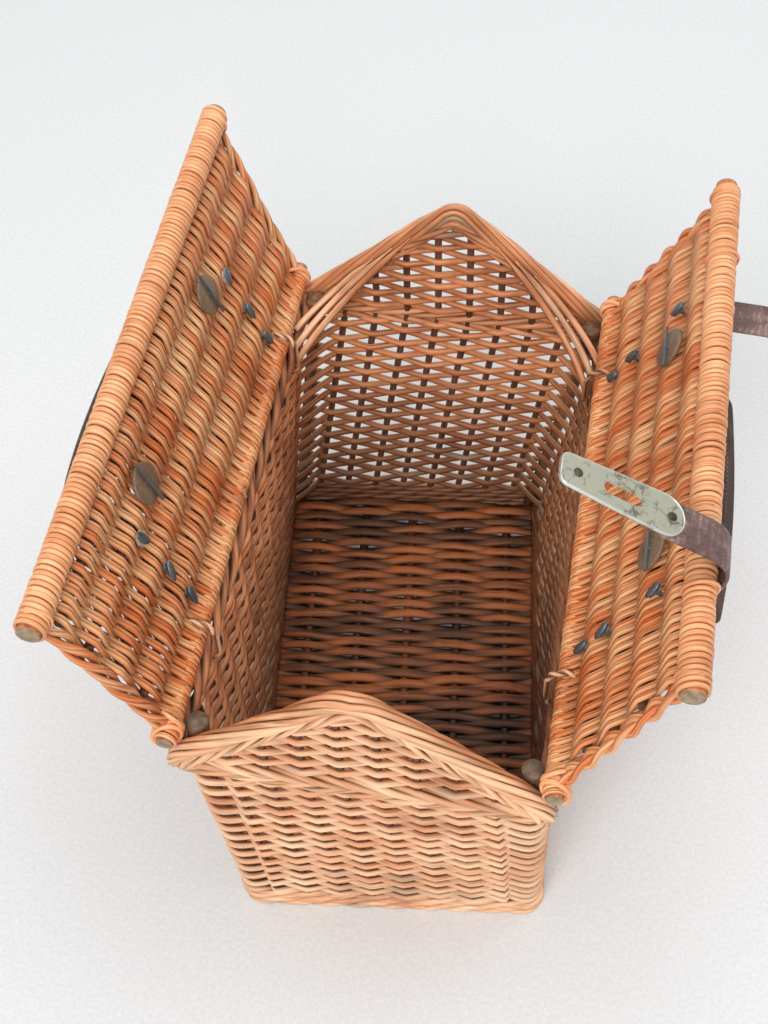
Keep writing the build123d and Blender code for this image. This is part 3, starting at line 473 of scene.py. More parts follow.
def wall_rows(heights, samples=8):
    """Loops P = wall(s) + n (bias + amplitude zigzag(pi (k + row))), with k counting stakes.

    At a corner every other row passes inside the post, on a curve whose middle touches it.
    """
    paths, normals, sinks = [], [], []
    for row, height in enumerate(heights):
        half = half_size(height) - WALL / 2
        loop, facing = rounded_loop(half)
        run = lengths(loop)
        marks = crossing_places(half)
        count = len(marks)
        number, phase = np.arange(count + 1), np.arange(count * samples) / samples
        is_corner = np.isin(number % count, CORNERS)
        along = np.interp(phase, number, [*marks, marks[0] + run[-1]]) % run[-1]
        swing = np.interp(phase, number, np.where(is_corner, 0.2, WEAVE_LIFT))
        lean = np.interp(phase, number, np.where(is_corner, 0.4, 0.0))
        offset = lean + swing * zigzag(np.pi * (phase + row), TIGHT_BEND)
        wobble = sum(
            np.sin(TAU * (phase / count * waves + chance.random())) * size
            for waves, size in ((5, 0.45), (17, 0.4))
        )
        out = unit(along_line(along, run, facing))
        place = along_line(along, run, loop) + out * offset[:, None]
        for spot, way in zip(CORNERS, CORNER_WAYS):
            if (spot + row) % 2:
                reach = (np.arange(2 * samples + 1) + (spot - 1) * samples) % len(phase)
                first, last = place[reach[0]], place[reach[-1]]
                pull = 2 * (half - CORNER_BEND - 2.1) * way - (first + last) / 2
                place[reach] = curved(first, pull, last, len(reach))
                out[reach] = unit(way)
        points, facing = on_wall(place, out, height + wobble)
        paths.append(points)
        normals.append(facing)
        # The sinks become painted shade, mixed with dirt, where a row passes between two stakes.
        sinks.append(0.25 * dips(offset, WEAVE_LIFT))
    return np.array(paths), np.array(normals), np.array(sinks)


row_heights = 21.4 + np.append(0, np.cumsum(np.linspace(5.45, 6.0, 28)))
paths, normals, sinks = wall_rows(row_heights)
thick = varied(4.6, 0.6, len(row_heights))
walls = sweep(paths, normals, thick, thick * 0.86, closed=True, sink=sinks, edge=0.55)
along = np.linspace(-161, 161, 118)
top_rows = []
for way in (-1.0, 1.0):
    for row, height in enumerate((187.0, 192.2)):
        offset = WEAVE_LIFT * zigzag(np.pi * (along / SIDE_PITCH + row))
        half = half_size(height)[0] - WALL / 2
        line = wall_point(way * (half + offset), along, height)
        top_rows.append(sweep(line[None], way * ACROSS, 4.5, 3.9))
make_piece(
    "wall_randing", [walls, *top_rows], "basket", outer_willow,
    "front_wall_weave", "rear_wall_weave", "left_wall_weave", "right_wall_weave",
)


# %% [markdown]
# ## Wales, gables and borders
# A wale is three rods that pass in front of two stakes and behind one, so it looks like a
# flat rope. A rolled border is a bundle of rods that winds slowly about the edge, and on
# the gables its two halves lean against each other at the peak. Both are the same formula:
# strand j goes round the middle line on an ellipse, at angle 2 pi (s / pitch + j / n).

# %% A rope of strands about a middle line
def rope(
    middle, out, up, strands, reach_out, reach_up, pitch, thick,
    shift=0.0, mirror=False, closed=False, taper=0.0, loose=0.1,
):
    """Strand j = M(s) + out a cos t + up b sin t, with t = 2 pi (s / pitch + j / n + shift).

    mirror winds both halves from the middle outwards, in opposite directions, and loose
    is how much the strands differ in girth and in their distance from the middle line.
    A point sinks, and is darkened as painted shade, as its distance from the middle line falls below the
    outermost.
    """
    middle = np.asarray(middle, float)
    out, up = np.broadcast_to(out, middle.shape), np.broadcast_to(up, middle.shape)
    run = lengths(middle)
    total = run[-1] + (np.linalg.norm(middle[0] - middle[-1]) if closed else 0)
    if closed:
        pitch = total / max(round(total / pitch), 1)
    wound = np.abs(run - total / 2) if mirror else run
    turn = TAU * (wound / pitch + np.arange(strands)[:, None] / strands + shift)[..., None]
    drift = 1 + loose * np.sin(TAU * (run / 70 + chance.random((strands, 1))))[..., None]
    c, s = np.cos(turn), np.sin(turn)
    paths = middle + out * (reach_out * c * drift) + up * (reach_up * s * drift)
    size = thick * varied(1, 2 * loose, strands)
    if taper:
        size = size * tapered(run, taper)
    part = sweep(paths, out * c + up * s, size, size * 0.9, circle(8), closed=closed)
    apart = part["points"].reshape(*paths.shape[:2], 8, 3) - middle[:, None]
    aside = (apart * out[:, None]).sum(-1) / (reach_out + thick / 2)
    above = (apart * up[:, None]).sum(-1) / (reach_up + thick / 2)
    # outward gives the side of the rope that faces into the basket the inner colours, which are partly
    # painted shade.
    part["outward"] = aside.ravel()
    part["sink"] = np.clip((0.95 - np.hypot(aside, above)) / 0.35, 0, 1).ravel()
    return part


def plait(middle, out, up, reach_out, reach_up, pitch, thick, strands=3, taper=4.0):
    """Flat plait: strand j = M(s) + out a sin t + up b sin 2t, with t = 2 pi (s / pitch + j / n)."""
    run = lengths(middle)
    turn = TAU * (run / pitch + np.arange(strands)[:, None] / strands)[..., None]
    paths = middle + reach_out * np.sin(turn) * out + reach_up * np.sin(2 * turn) * up
    ends = tapered(run, taper)
    return sweep(paths, up, thick * ends, thick * 0.8 * ends, circle(8), edge=0.6)


# %% Foot wale and eave wales
foot_rows = []
for height, reach in ((2.9, 2.3), (7.5, 2.2), (12.2, 2.1), (16.8, 2.1)):
    half = half_size(height) - 4.2
    loop, facing = rounded_loop(half, 9)
    run = lengths(loop)
    place = np.linspace(0, run[-1], 421)[:-1]
    middle, out = on_wall(along_line(place, run, loop), unit(along_line(place, run, facing)), height)
    foot_rows.append(rope(middle, out, UP, 3, reach, 0.9, 62.0, 3.9, shift=height / 9, closed=True))
make_piece("foot_waling", foot_rows, "basket", outer_willow, "foot_wale")

for end, (way, *_) in ENDS.items():
    across = np.linspace(-101, 101, 161)
    bend = np.clip(np.abs(across) - 92, 0, None) ** 2 * 0.045
    middle = points_at(across, way * (167.0 - bend), 186.3)
    wales = [
        rope(middle + lift * UP, way * ALONG, UP, 4, 2.7, 2.0, pitch, 4.0, taper=6.0)
        for lift, pitch in ((-3.2, 84.0), (3.0, -84.0))
    ]
    make_piece(f"{end}_eave_waling", wales, "basket", border_willow, f"{end}_eave_wale")


# %% Gable weave under the borders
def gable_slope(peak):
    """The angle of the rake."""
    return np.arctan2(peak - EAVE, RIM_HALF[0])


def gable_rows(way, peak, pitch=5.5, samples=97):
    """Rows P = (x, y0 + lift zigzag(pi (x / pitch of stakes + row)), z), ending at the border."""
    slope = gable_slope(peak)
    top = peak - 13.0 / np.cos(slope)
    heights = np.arange(195.5, top - 2.5, pitch)
    reach = (top - heights) / np.tan(slope) + 3.0
    across = reach[:, None] * np.linspace(-1, 1, samples)[None]
    row = np.arange(len(heights))[:, None]
    offset = WEAVE_LIFT * zigzag(np.pi * ((across - END_STAKES[0]) / END_PITCH + row), TIGHT_BEND)
    wobble = waver(0.4, across / 23, len(heights))
    paths = points_at(across, way * (165.75 + offset), heights[:, None] + wobble)
    # The last array becomes painted shade, mixed with dirt, where a row passes between two stakes.
    return paths, way * ALONG, 0.25 * dips(offset, WEAVE_LIFT)


for end, (way, peak, _) in ENDS.items():
    paths, normals, sinks = gable_rows(way, peak)
    thick = varied(4.4, 0.5, len(paths))
    weave = sweep(paths, normals, thick, thick * 0.86, circle(7), sink=sinks, edge=0.55)
    make_piece(f"{end}_gable_randing", [weave], "basket", outer_willow, f"{end}_gable_weave")


# %% Rolled borders over the gables
def rake_line(peak, radius, below, steps=220):
    """Middle line of a gable border: two rakes joined by an arc, below the outer edge."""
    slope = gable_slope(peak)
    inner = max(radius - below, 2.0)
    apex = peak - below / np.cos(slope)
    centre = apex - inner / np.cos(slope)
    angles = np.linspace(np.pi / 2 + slope, np.pi / 2 - slope, 15)
    arc = inner * directions(angles) + [0, centre]
    corner = np.array([-98.5, apex - 98.5 * np.tan(slope)])
    line = np.vstack([corner, arc, corner * [-1, 1]])
    run = lengths(line)
    return along_line(np.linspace(0, run[-1], steps), run, line)


for end, (way, peak, radius) in ENDS.items():
    line = rake_line(peak, radius, 6.8)
    droop = np.clip(np.abs(line[:, 0]) - 93.0, 0, None) ** 2 * 0.16
    middle = points_at(
        line[:, 0] * (1 - 0.0004 * droop), way * (167.5 - 0.1 * droop), line[:, 1] - droop
    )
    ahead = unit(np.gradient(middle, axis=0))
    up = -unit(np.cross(ALONG, ahead))
    up = up * np.sign(up[:, 2:3])
    outside, winding = way * ALONG, {"mirror": True, "taper": 4.0, "loose": 0.12}
    crown = rope(middle + 1.4 * up, outside, up, 8, 4.6, 3.4, 190.0, 3.5, **winding)
    under = rope(middle - 3.6 * up, outside, up, 7, 4.8, 3.6, -118.0, 3.4, shift=0.2, **winding)
    core = rope(middle - 1.0 * up, outside, up, 1, 0.2, 0.2, 400.0, 7.0, taper=4.0)
    # The core is darkened all over as painted shade inside the bundle.
    core["sink"] = core["sink"] * 0 + 1
    parts = [crown, under, core]
    make_piece(f"{end}_rolled_border", parts, "basket", border_willow, f"{end}_gable_border")

for side, way in SIDES.items():
    along = np.linspace(-162, 162, 220)
    middle = points_at(way * 98.0, along, 197.4)
    rods = rope(middle, way * ACROSS, UP, 4, 4.3, 4.1, 88.0 * way, 5.2, taper=8.0, loose=0.16)
    make_piece(f"{side}_plaited_border", [rods], "basket", border_willow, f"{side}_top_border")


# %% Rods that carry the side borders up into the rear gable
rear_peak = ENDS["rear"][1]
bundle = []
for way in (-1.0, 1.0):
    for start, reach, inward, low in ((104, 26, 4, 196), (116, 38, 2, 199), (128, 50, 0, 202)):
        first = np.array([way * (95.0 - inward), start, low])
        corner = np.array([way * (84.0 - inward), 153.0 - inward, low + 3.0])
        last = np.array([way * reach, 160.5, rear_peak - reach * np.tan(gable_slope(rear_peak)) - 5.0])
        size = 4.4 * np.clip(6 - 6 * np.linspace(0, 1, 30)[None], 0.25, 1)
        line = curved(first, corner, last, 30)[None]
        bundle.append(sweep(line, UP, size, 0.9 * size, circle(8), edge=0.5))
make_piece("rear_corner_rods", bundle, "basket", border_willow)


# %% [markdown]
# ## Floor
# Thick weavers run across lengthwise sticks. The rows share the walls' formula, laid flat
# in the turned axes of the base.

# %% Floor weave over five ribs
def floor_rows(pitch=4.6, samples=91):
    """Rows P = base(x, y, z0 + lift zigzag(pi (x / pitch of ribs + row)))."""
    rows = np.arange(-150.0, 150.5, pitch)
    across = np.linspace(-86.5, 86.5, samples)[None]
    number = np.arange(len(rows))[:, None]
    lift = 2.0 * zigzag(np.pi * (across / RIB_PITCH + number))
    wobble = waver(0.8, across / 26, len(rows)) + waver(0.5, across / 9, len(rows))
    # The second array darkens the low parts of each row as painted shade between the ribs.
    return wall_point(across, rows[:, None] + wobble, 4.7 + lift), np.clip(0.35 - lift / 2.0, 0, 1)


paths, sinks = floor_rows()
thick = varied(6.9, 1.2, len(paths))
floor_weave = sweep(paths, UP, thick, 3.6, circle(8), sink=sinks, edge=0.5)
make_piece("floor_weaving", [floor_weave], "basket", floor_willow, "floor_weave")
ribs = wall_point(RIB_PITCH * (np.arange(5) - 2)[:, None], np.linspace(-150, 150, 5), 4.4)
# The ribs are darkened almost fully (sink 0.9) as painted shade under the weavers.
floor_ribs = sweep(ribs, UP, 6.0, 4.4, circle(10), sink=0.9)
make_piece("floor_ribs", [floor_ribs], "basket", floor_willow, "floor_sticks")


# %% [markdown]
# ## Lids
# A lid is worked the other way: its weavers run from the hinge rod to the outer rod, over
# and under four lengthwise sticks, and turn round both rods. The lid widens or narrows
# towards its outer rod, so the rows fan out a little.

# %% Lid axes and rows
def lid_axes(side):
    """Hinge point, direction to the outer rod and outward direction of a lid."""
    way, lean = SIDES[side], np.radians(LID_ANGLES[side])
    origin = np.array([way * HINGE[0], 0, HINGE[1]])
    reach = np.array([way * np.cos(lean), 0, np.sin(lean)])
    outward = np.array([way * np.sin(lean), 0, -np.cos(lean)])
    return origin, reach, outward


def on_lid(side, reach, along, outward):
    """World point from a lid's own reach, place along the ridge and outward height."""
    origin, v_axis, h_axis = lid_axes(side)
    reach, along, outward = np.broadcast_arrays(reach, along, outward)
    flat = origin + reach[..., None] * v_axis + outward[..., None] * h_axis
    return flat + along[..., None] * ALONG


def lid_half(side, reach):
    """Half length of the lid's weave at one reach."""
    at_hinge, at_rod = HINGE_ROD / 2 - BARE_END, ROD_LENGTHS[side] / 2 - BARE_END
    return at_hinge + (at_rod - at_hinge) * reach / LID_WIDTH


def lid_rows(side, pitch, samples=57):
    """Rows P = lid(v, y, A(v) zigzag(pi (k(v) + row))), with k counting sticks and rods."""
    marks = np.array([0, 28.0, 53, 78, 103, 120])
    swing_marks = np.array([5.0, 3.2, 3.2, 3.2, 3.2, 6.4])
    reach = np.linspace(1.0, 118.5, samples)
    count = int(2 * lid_half(side, 0) / pitch)
    row, middle = np.arange(count)[:, None], (count - 1) / 2
    phase = np.interp(reach, marks, np.arange(6) - 1.0)[None]
    swing = np.interp(reach, marks, swing_marks)[None]
    offset = swing * zigzag(np.pi * (phase + row), TIGHT_BEND)
    wander = waver(0.5, reach / 17, count) + waver(0.3, reach / 6, count)
    along = (row - middle) / middle * (lid_half(side, reach) - 1.3) + wander
    # The dips become painted shade, mixed with dirt, where a row passes between two sticks.
    return on_lid(side, reach, along, offset), lid_axes(side)[2], dips(offset, 3.0)


def round_rod(side, steps):
    """Angles round a rod of a lid and the directions away from its centre."""
    _, v_axis, h_axis = lid_axes(side)
    angle = TAU * np.arange(steps) / steps
    return angle, np.cos(angle)[:, None] * v_axis + np.sin(angle)[:, None] * h_axis


def rod_wraps(side, reach, rod, length, pitch, thick, steps=22):
    """Turns P = rod centre + r (cos a, sin a) + y (y0 + slant sin a), one closed ring each."""
    angle, radial = round_rod(side, steps)
    places = np.arange(-length / 2 + pitch / 2, length / 2 - pitch / 2, pitch)
    size = (rod + thick) / 2 + 0.12 * chance.standard_normal((len(places), 1))
    slant = 0.9 * np.sin(angle + 0.6)[None] + 0.25 * chance.standard_normal((len(places), 1))
    paths = on_lid(side, reach, places[:, None] + slant, 0.0) + size[..., None] * radial[None]
    return sweep(paths, radial, pitch * 1.02, thick, closed=True, edge=0.8)


for side in SIDES:
    pitch = 2.85 if side == "left" else 2.4
    paths, normals, sinks = lid_rows(side, pitch)
    width = pitch * varied(1.8, 0.36, len(paths))
    rows = sweep(paths, normals, width, 2.7, circle(6), sink=sinks, edge=0.5)
    hinge_wrap = rod_wraps(side, 0.0, 9.0, HINGE_ROD - 3, 3.05, 1.9)
    parts = [rows, hinge_wrap]
    make_piece(f"{side}_lid_weaving", parts, f"{side}_lid", lid_willow, f"{side}_lid_weave")
    outer_wrap = rod_wraps(side, LID_WIDTH, 12.0, ROD_LENGTHS[side] - 3, 3.0, 2.0)
    make_piece(f"{side}_rod_wrapping", [outer_wrap], f"{side}_lid", wrap_willow)

# %% Plaited edges of the lids
for side in SIDES:
    for end, way in (("front", -1.0), ("rear", 1.0)):
        reach = np.linspace(5.0, 114.0, 90)
        middle = on_lid(side, reach, way * (lid_half(side, reach) + 5.3), 0.0)
        h_axis = lid_axes(side)[2]
        if side == "left":
            edge = rope(middle, way * ALONG, h_axis, 3, 2.8, 2.5, 58.0, 4.2, taper=4.0, loose=0.15)
        else:
            edge = plait(middle, way * ALONG, h_axis, 3.7, 1.5, 56.0, 4.0)
        name, node = f"{side}_{end}_plait", f"{side}_lid_{end}_edge"
        make_piece(name, [edge], f"{side}_lid", lid_willow, node)

# %% Twisted willow loops that hinge the lids
LOOP_LOW, LOOP_HIGH, LOOP_ACROSS = 196.8, 213.0, 99.2
half_turn = 9.75 * directions(np.linspace(0, np.pi, 24))
aside, heights = np.vstack([half_turn + [0, LOOP_HIGH], [0, LOOP_LOW] - half_turn]).T
for side, way in SIDES.items():
    loops = []
    for along in (-104.0, 104.0):
        middle = points_at(way * LOOP_ACROSS + aside, along, heights)
        hub = points_at(way * LOOP_ACROSS, along, np.clip(heights, LOOP_LOW, LOOP_HIGH))
        loops.append(rope(middle, unit(middle - hub), ALONG, 2, 1.0, 1.0, 15.0, 2.3, closed=True))
    make_piece(f"{side}_willow_loops", loops, "basket", border_willow, f"{side}_hinge_loops")


# %% [markdown]
# ## Rods, stakes and posts kept from the CAD
# Straight sticks are right as they are. The stakes and lid sticks get dark brown willow, darkened
# as painted shade of the weave, and the rods get peeled willow, all with grain along the stick,
# and a darker, ringed cut where a stick ends in the open.

# %% Stick materials
def stick_willow(
    name, pale, deep, cut_axis, cut_at, hub=(0.0, 0.0), sawn=((170, 146, 116), (116, 94, 72))
):
    """Streaks along the stick, and past cut_at metres a sawn end with rings about the hub.

    Ring shade = sin(r 2 pi / 1.3 mm), with r the distance from the hub line.
    """
    material, read, shader, place = new_material(name)
    stretch = (260.0, 260.0, 12.0) if cut_axis == 2 else (260.0, 12.0, 260.0)
    grain = read.node("VectorMath", {"operation": "MULTIPLY"}, i0=place, i1=stretch).noise(1.0, 4.0)
    from_middle = [place.axis(axis).apply("ABSOLUTE") for axis in range(3)]
    far = from_middle[cut_axis].step(cut_at - 0.0006, cut_at - 0.0002)
    other = from_middle[1] if cut_axis == 2 else place.axis(2)
    radius = ((from_middle[0] - hub[0]) ** 2 + (other - hub[1]) ** 2) ** 0.5
    rings = (radius * (TAU / 0.0013)).apply("SINE") * 0.1 + place.noise(260.0, 3.0)
    colour = far.mix(grain.step(0.3, 0.7).mix(pale, deep), rings.step(0.2, 0.8).mix(*sawn))
    dress(shader, colour, grain * 0.2 + 0.5, grain, 0.3, 0.0004)
    return material


def finish_nodes(material, *names):
    """Gives CAD nodes a new material."""
    for name in names:
        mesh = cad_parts[name].data
        mesh.materials.clear()
        mesh.materials.append(material)


# The stakes and lid sticks are coloured dark brown as painted shade of the weave around them.
stake_willow = stick_willow("stake_willow", (112, 70, 46), (70, 44, 30), 2, 9.0)
finish_nodes(stake_willow, "front_stakes", "rear_stakes", "left_stakes", "right_stakes")
finish_nodes(stake_willow, "left_lid_sticks", "right_lid_sticks")
for side in SIDES:
    hub = np.abs(on_lid(side, LID_WIDTH, 0.0, 0.0)) / 1000
    rod = stick_willow(
        f"{side}_rod_willow", (214, 150, 98), (160, 98, 58), 1, ROD_LENGTHS[side] / 2000, hub[[0, 2]]
    )
    finish_nodes(rod, f"{side}_outer_rod")
    pin = stick_willow(
        f"{side}_hinge_willow", (206, 142, 92), (150, 92, 56), 1, HINGE_ROD / 2000, HINGE / 1000
    )
    finish_nodes(pin, f"{side}_hinge_rod")

# %% Corner posts, woven in and leaning inwards at their tops
post_willow = stick_willow(
    "post_willow", (138, 94, 64), (88, 58, 40), 2, 0.2094, (0.0875, 0.154),
    sawn=((126, 104, 82), (78, 62, 48)),
)
posts = []
for way in (-1.0, 1.0):
    for end in (-1.0, 1.0):
        heights = np.array([11.0, 40.0, 80.0, 120.0, 160.0, 176.0, 186.0, 196.0, 203.0, 208.6, 209.6])
        inset = np.array([11, 11, 11, 11, 11, 11.2, 11.8, 12.2, 12.4, 12.5, 12.5])
        extra = np.array([0, 0, 0, 0, 0, 0.2, 1.6, 2.8, 3.2, 3.5, 3.5])
        half = half_size(heights)
        line = wall_point(way * (half[:, 0] - inset), end * (half[:, 1] - inset - extra), heights)
        heights[-3:] -= 2.0 * (1 + end)
        tops = [170.0, 188.0, 204.0, *heights[-2:]]
        width = np.interp(heights, tops, [7.4, 11.4, 12.0, 12.2, 11.0])
        line[:, 2] = heights
        posts.append(sweep(line[None], way * ACROSS, width, width, circle(20)))
make_piece("woven_posts", posts, "basket", post_willow, "corner_posts")

# %% [markdown]
# ## Leather
# The straps and grips are thick bridle leather, dried and crackled. A strap is a bar with
# rounded edges carried along a bent line, with fine cracks as bump and colour.

# %% Leather materials
def leather(name, base, worn, crack=0.5, creases=0.0, rough=0.3):
    """Crackled leather: cell edges darken, high spots wear pale, creases cross the strap."""
    material, read, shader, place = new_material(name)
    cells = read.node("TexVoronoi", {"feature": "DISTANCE_TO_EDGE"}, Vector=place, Scale=420.0)
    pores, wear = place.noise(700.0, 3.0), place.noise(60.0, 5.0, 0.65)
    run = read.node("UVMap", {"uv_map": "Rods"}).axis(0)
    fold = (run * 1700.0 + wear * 16.0 + pores * 5.0).apply("SINE")
    lines = fold.step(0.3, 0.95) * wear.step(0.42, 0.62) * creases
    colour = wear.step(0.42, 0.72).mix(base, worn)
    colour = (cells.step(0.06, 0.0) * crack).mix(colour, (30, 22, 20))
    colour = lines.mix(colour, (176, 150, 146))
    height = cells.step(0.0, 0.12) * 0.5 + pores * 0.3 + lines * 0.8
    dress(shader, colour, wear * 0.3 + rough, height, 0.5, 0.0005)
    return material


strap_leather = leather("strap_leather", (104, 78, 74), (146, 116, 110), creases=0.5)
grip_leather = leather("grip_leather", (66, 46, 38), (104, 76, 62), crack=0.3, rough=0.7)
disc_leather = leather("disc_leather", (120, 96, 76), (142, 122, 96), crack=0.4)
thread = leather("thread", (122, 98, 80), (150, 126, 104), crack=0.1, rough=0.5)


# %% Straps pinned on the lids
STRAP_PLACES, ON_LID = (-94.0, 92.0), 6.0
STRAP_WIDTH, STRAP_THICK = 22.0, 2.4


def band(points, out):
    """A bar-shaped band along a line, its broad faces square to out."""
    return sweep(points[None], out, STRAP_WIDTH, STRAP_THICK, soft_bar(20, 7.0))


for side in SIDES:
    reach = np.linspace(15.0, 90.0 if side == "left" else 86.0, 24)
    bands = [band(on_lid(side, reach, along, ON_LID), lid_axes(side)[2]) for along in STRAP_PLACES]
    node = "left_straps" if side == "left" else "right_strap_bases"
    make_piece(f"{side}_strap_bands", bands, f"{side}_lid", strap_leather, node)

# %% Hasp straps, bent at their root and at their fold
ROOT, FOLD, ON_ROD = 97.0, 139.208, 9.5
HASP_STRAPS = {"front": (STRAP_PLACES[0], 0.0, 88.0), "rear": (STRAP_PLACES[1], -66.0, -45.0)}
_, V_AXIS, H_AXIS = lid_axes("right")


def bent_axes(bend):
    """Direction along the strap and its outer side, after a bend inward in degrees."""
    turn = np.radians(bend)
    return np.cos(turn) * V_AXIS - np.sin(turn) * H_AXIS, np.sin(turn) * V_AXIS + np.cos(turn) * H_AXIS


def strap_frame(name):
    """Root and fold points of a hasp strap, then its axes before and after the fold."""
    along, root_bend, fold_bend = HASP_STRAPS[name]
    root = on_lid("right", ROOT, along, ON_LID)
    run_axis, out_axis = bent_axes(root_bend)
    fold = root + (FOLD - ROOT) * run_axis + (ON_ROD - ON_LID) * out_axis
    return root, fold, run_axis, out_axis, *bent_axes(root_bend + fold_bend)


def strap_part(name, points, facing, start, end, nodes):
    """A band whose outer side keeps to one side, facing, baked into world space."""
    out = np.cross(unit(np.gradient(points, lengths(points), axis=0)), ALONG)
    out = out * np.sign((out * facing).sum(-1, keepdims=True))
    piece = make_piece(name, [band(points, out)], None, strap_leather, *nodes)
    tuple(start / 1000)
    tuple(end / 1000)
    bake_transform(piece)


for name in HASP_STRAPS:
    root, fold, run_axis, out_axis, tail_axis, tail_out = strap_frame(name)
    middle = root + 14.0 * run_axis + 3.2 * out_axis
    low, high = root - 7.0 * V_AXIS, root + 7.0 * run_axis + 0.8 * out_axis
    points = np.vstack([
        np.linspace(root - 12.0 * V_AXIS, low, 4)[:-1], curved(low, root, high),
        np.linspace(high, middle, 5)[1:],
    ])
    bodies = ("right_lid", f"{name}_link")
    strap_part(f"{name}_strap_root", points, H_AXIS + out_axis, low, high, ())
    reach = 20.0 if name == "front" else 12.0
    before, after = fold - reach * run_axis, fold + reach * tail_axis
    points = np.vstack([
        np.linspace(middle, before, 8)[:-1], curved(before, fold, after),
        np.linspace(after, fold + 46.0 * tail_axis, 8)[1:],
    ])
    bodies, nodes = (f"{name}_link", f"{name}_tail"), (f"{name}_strap_link", f"{name}_strap_tail")
    strap_part(f"{name}_strap_fold", points, out_axis + tail_out, before, after, nodes)

# %% Skein ties at the rod ends, and two keepers on the right outer rod
def tie(side, reach, along, radius, thick, slant=2.0, steps=26, turns=1):
    """Closed rings P = rod centre + r (cos a, sin a) + y (y0 + slant sin a) round a rod."""
    angle, radial = round_rod(side, steps)
    places = along + 0.92 * thick * (np.arange(turns) - (turns - 1) / 2)
    centre = on_lid(side, reach, places[:, None] + slant * np.sin(angle)[None], 0.0)
    return sweep(centre + radius * radial[None], radial, thick, thick * 0.7, circle(8), closed=True)


for side in SIDES:
    rings = []
    for end in (-1.0, 1.0):
        rings.append(tie(side, 0.0, end * (HINGE_ROD / 2 - 7.0), 7.2, 3.4, 2.6 * end, turns=2))
        rings.append(tie(side, 2.0, end * (HINGE_ROD / 2 - 13.0), 8.3, 2.8, -3.5 * end))
        rings.append(tie(side, LID_WIDTH - 1.0, end * (ROD_LENGTHS[side] / 2 - 8.0), 8.0, 2.0, 2.0 * end))
    if side == "right":
        rings += [tie(side, LID_WIDTH + 0.4, along, 8.6, 2.2) for along in (-108.0, 106.0)]
    make_piece(f"{side}_skein_ties", rings, f"{side}_lid", wrap_willow)

# %% Grips
EYE_PLACES, EYE_REACH = (-67.0, 67.0), 83.0
for side, way in SIDES.items():
    droop = np.radians(44.0 if side == "left" else 64.0)
    hang = np.array([way * np.cos(droop), 0, -np.sin(droop)])
    pivot = on_lid(side, EYE_REACH, 0.0, 14.4)
    face = np.cross(ALONG, hang)
    share = np.linspace(-1, 1, 61)
    outer, inner = 58.0 - 12.0 * share ** 2, 38.0 - 11.0 * share ** 2
    along, middle = 73.0 * share, (outer + inner) / 2
    close = np.clip((1 - np.abs(share)) / 0.07, 0, 1)
    width = (outer - inner) * np.sqrt(1 - (1 - close) ** 2 * 0.7)
    points = pivot + along[:, None] * ALONG + middle[:, None] * hang
    grip = sweep(points[None], face, width, 8.0 * np.sqrt(width / 20.0), soft_bar(24, 4.0))
    reach = np.linspace(-3.0, 36.0, 24)
    flare = np.interp(reach, [-3.0, 4.5, 27.0, 36.0], [3.6, 3.6, 12.0, 12.0])
    lugs = [
        sweep((pivot + place * ALONG + reach[:, None] * hang)[None], face, flare, 5.0, soft_bar(16, 3.0))
        for place in EYE_PLACES
    ]
    parts = [grip, *lugs]
    make_piece(f"{side}_grip_leather", parts, f"{side}_grip", grip_leather, f"{side}_handle")
    seams = []
    for edge, inset in ((outer, -3.8), (inner, 3.8)):
        for lift in (-3.6, 3.6):
            spots = np.linspace(-66.0, 66.0, 46)[:, None] + np.array([-0.9, 0.0, 0.9])
            depth = np.interp(spots, along, edge) + inset
            stitch = pivot + spots[..., None] * ALONG + depth[..., None] * hang
            stitch = stitch + (lift + 0.25 * np.sign(lift) * np.array([-1, 1, -1]))[:, None] * face
            seams.append(sweep(stitch, face, 0.9, 0.7))
    make_piece(f"{side}_grip_stitches", seams, f"{side}_grip", thread)

# %% Washers under the handle eyes
level = np.array([-4.8, -4.85, -5.1, -6.7, -7.0, -7.1])
girth = 2 * np.array([0.2, 10.6, 11.2, 11.3, 10.6, 0.2])
for side in SIDES:
    discs = [
        sweep(on_lid(side, EYE_REACH, along, level)[None], ALONG, girth, girth, circle(28))
        for along in EYE_PLACES
    ]
    node = f"{side}_handle_washers"
    make_piece(f"{side}_washer_leather", discs, f"{side}_lid", disc_leather, node)

# %% [markdown]
# ## Metal
# The hasps are dull nickel plate over pressed steel, the eyes and pins are tarnished wire.
# The CAD shapes stay, with stains and fine scratches in the material.

# %% Metal materials
def old_metal(name, bright, stain, rough=0.35, metallic=0.85, scrolls=0.0):
    """Dull plate: stains from large noise, pits from fine noise, pressed lines from warped cells."""
    material, read, shader, place = new_material(name)
    stains, pits = place.noise(90.0, 6.0, 0.7), place.noise(900.0, 2.0)
    swirl = place.noise(160.0, 1.0, output=1)
    drift = read.node("VectorMath", {"operation": "SCALE"}, i0=swirl, Scale=0.006)
    bent = read.node("VectorMath", {"operation": "ADD"}, i0=place, i1=drift)
    cells = read.node("TexVoronoi", {"feature": "DISTANCE_TO_EDGE"}, Vector=bent, Scale=150.0)
    lines = cells.step(0.11, 0.02) * stains.step(0.44, 0.6) * scrolls
    colour = stains.step(0.48, 0.75).mix(bright, stain)
    colour = (lines * 0.75).mix(colour, (88, 84, 72))
    shader.inputs["Metallic"].default_value = metallic
    dress(shader, colour, stains * 0.35 + rough - 0.1, pits * 0.2 - lines, 0.4, 0.0005)
    return material


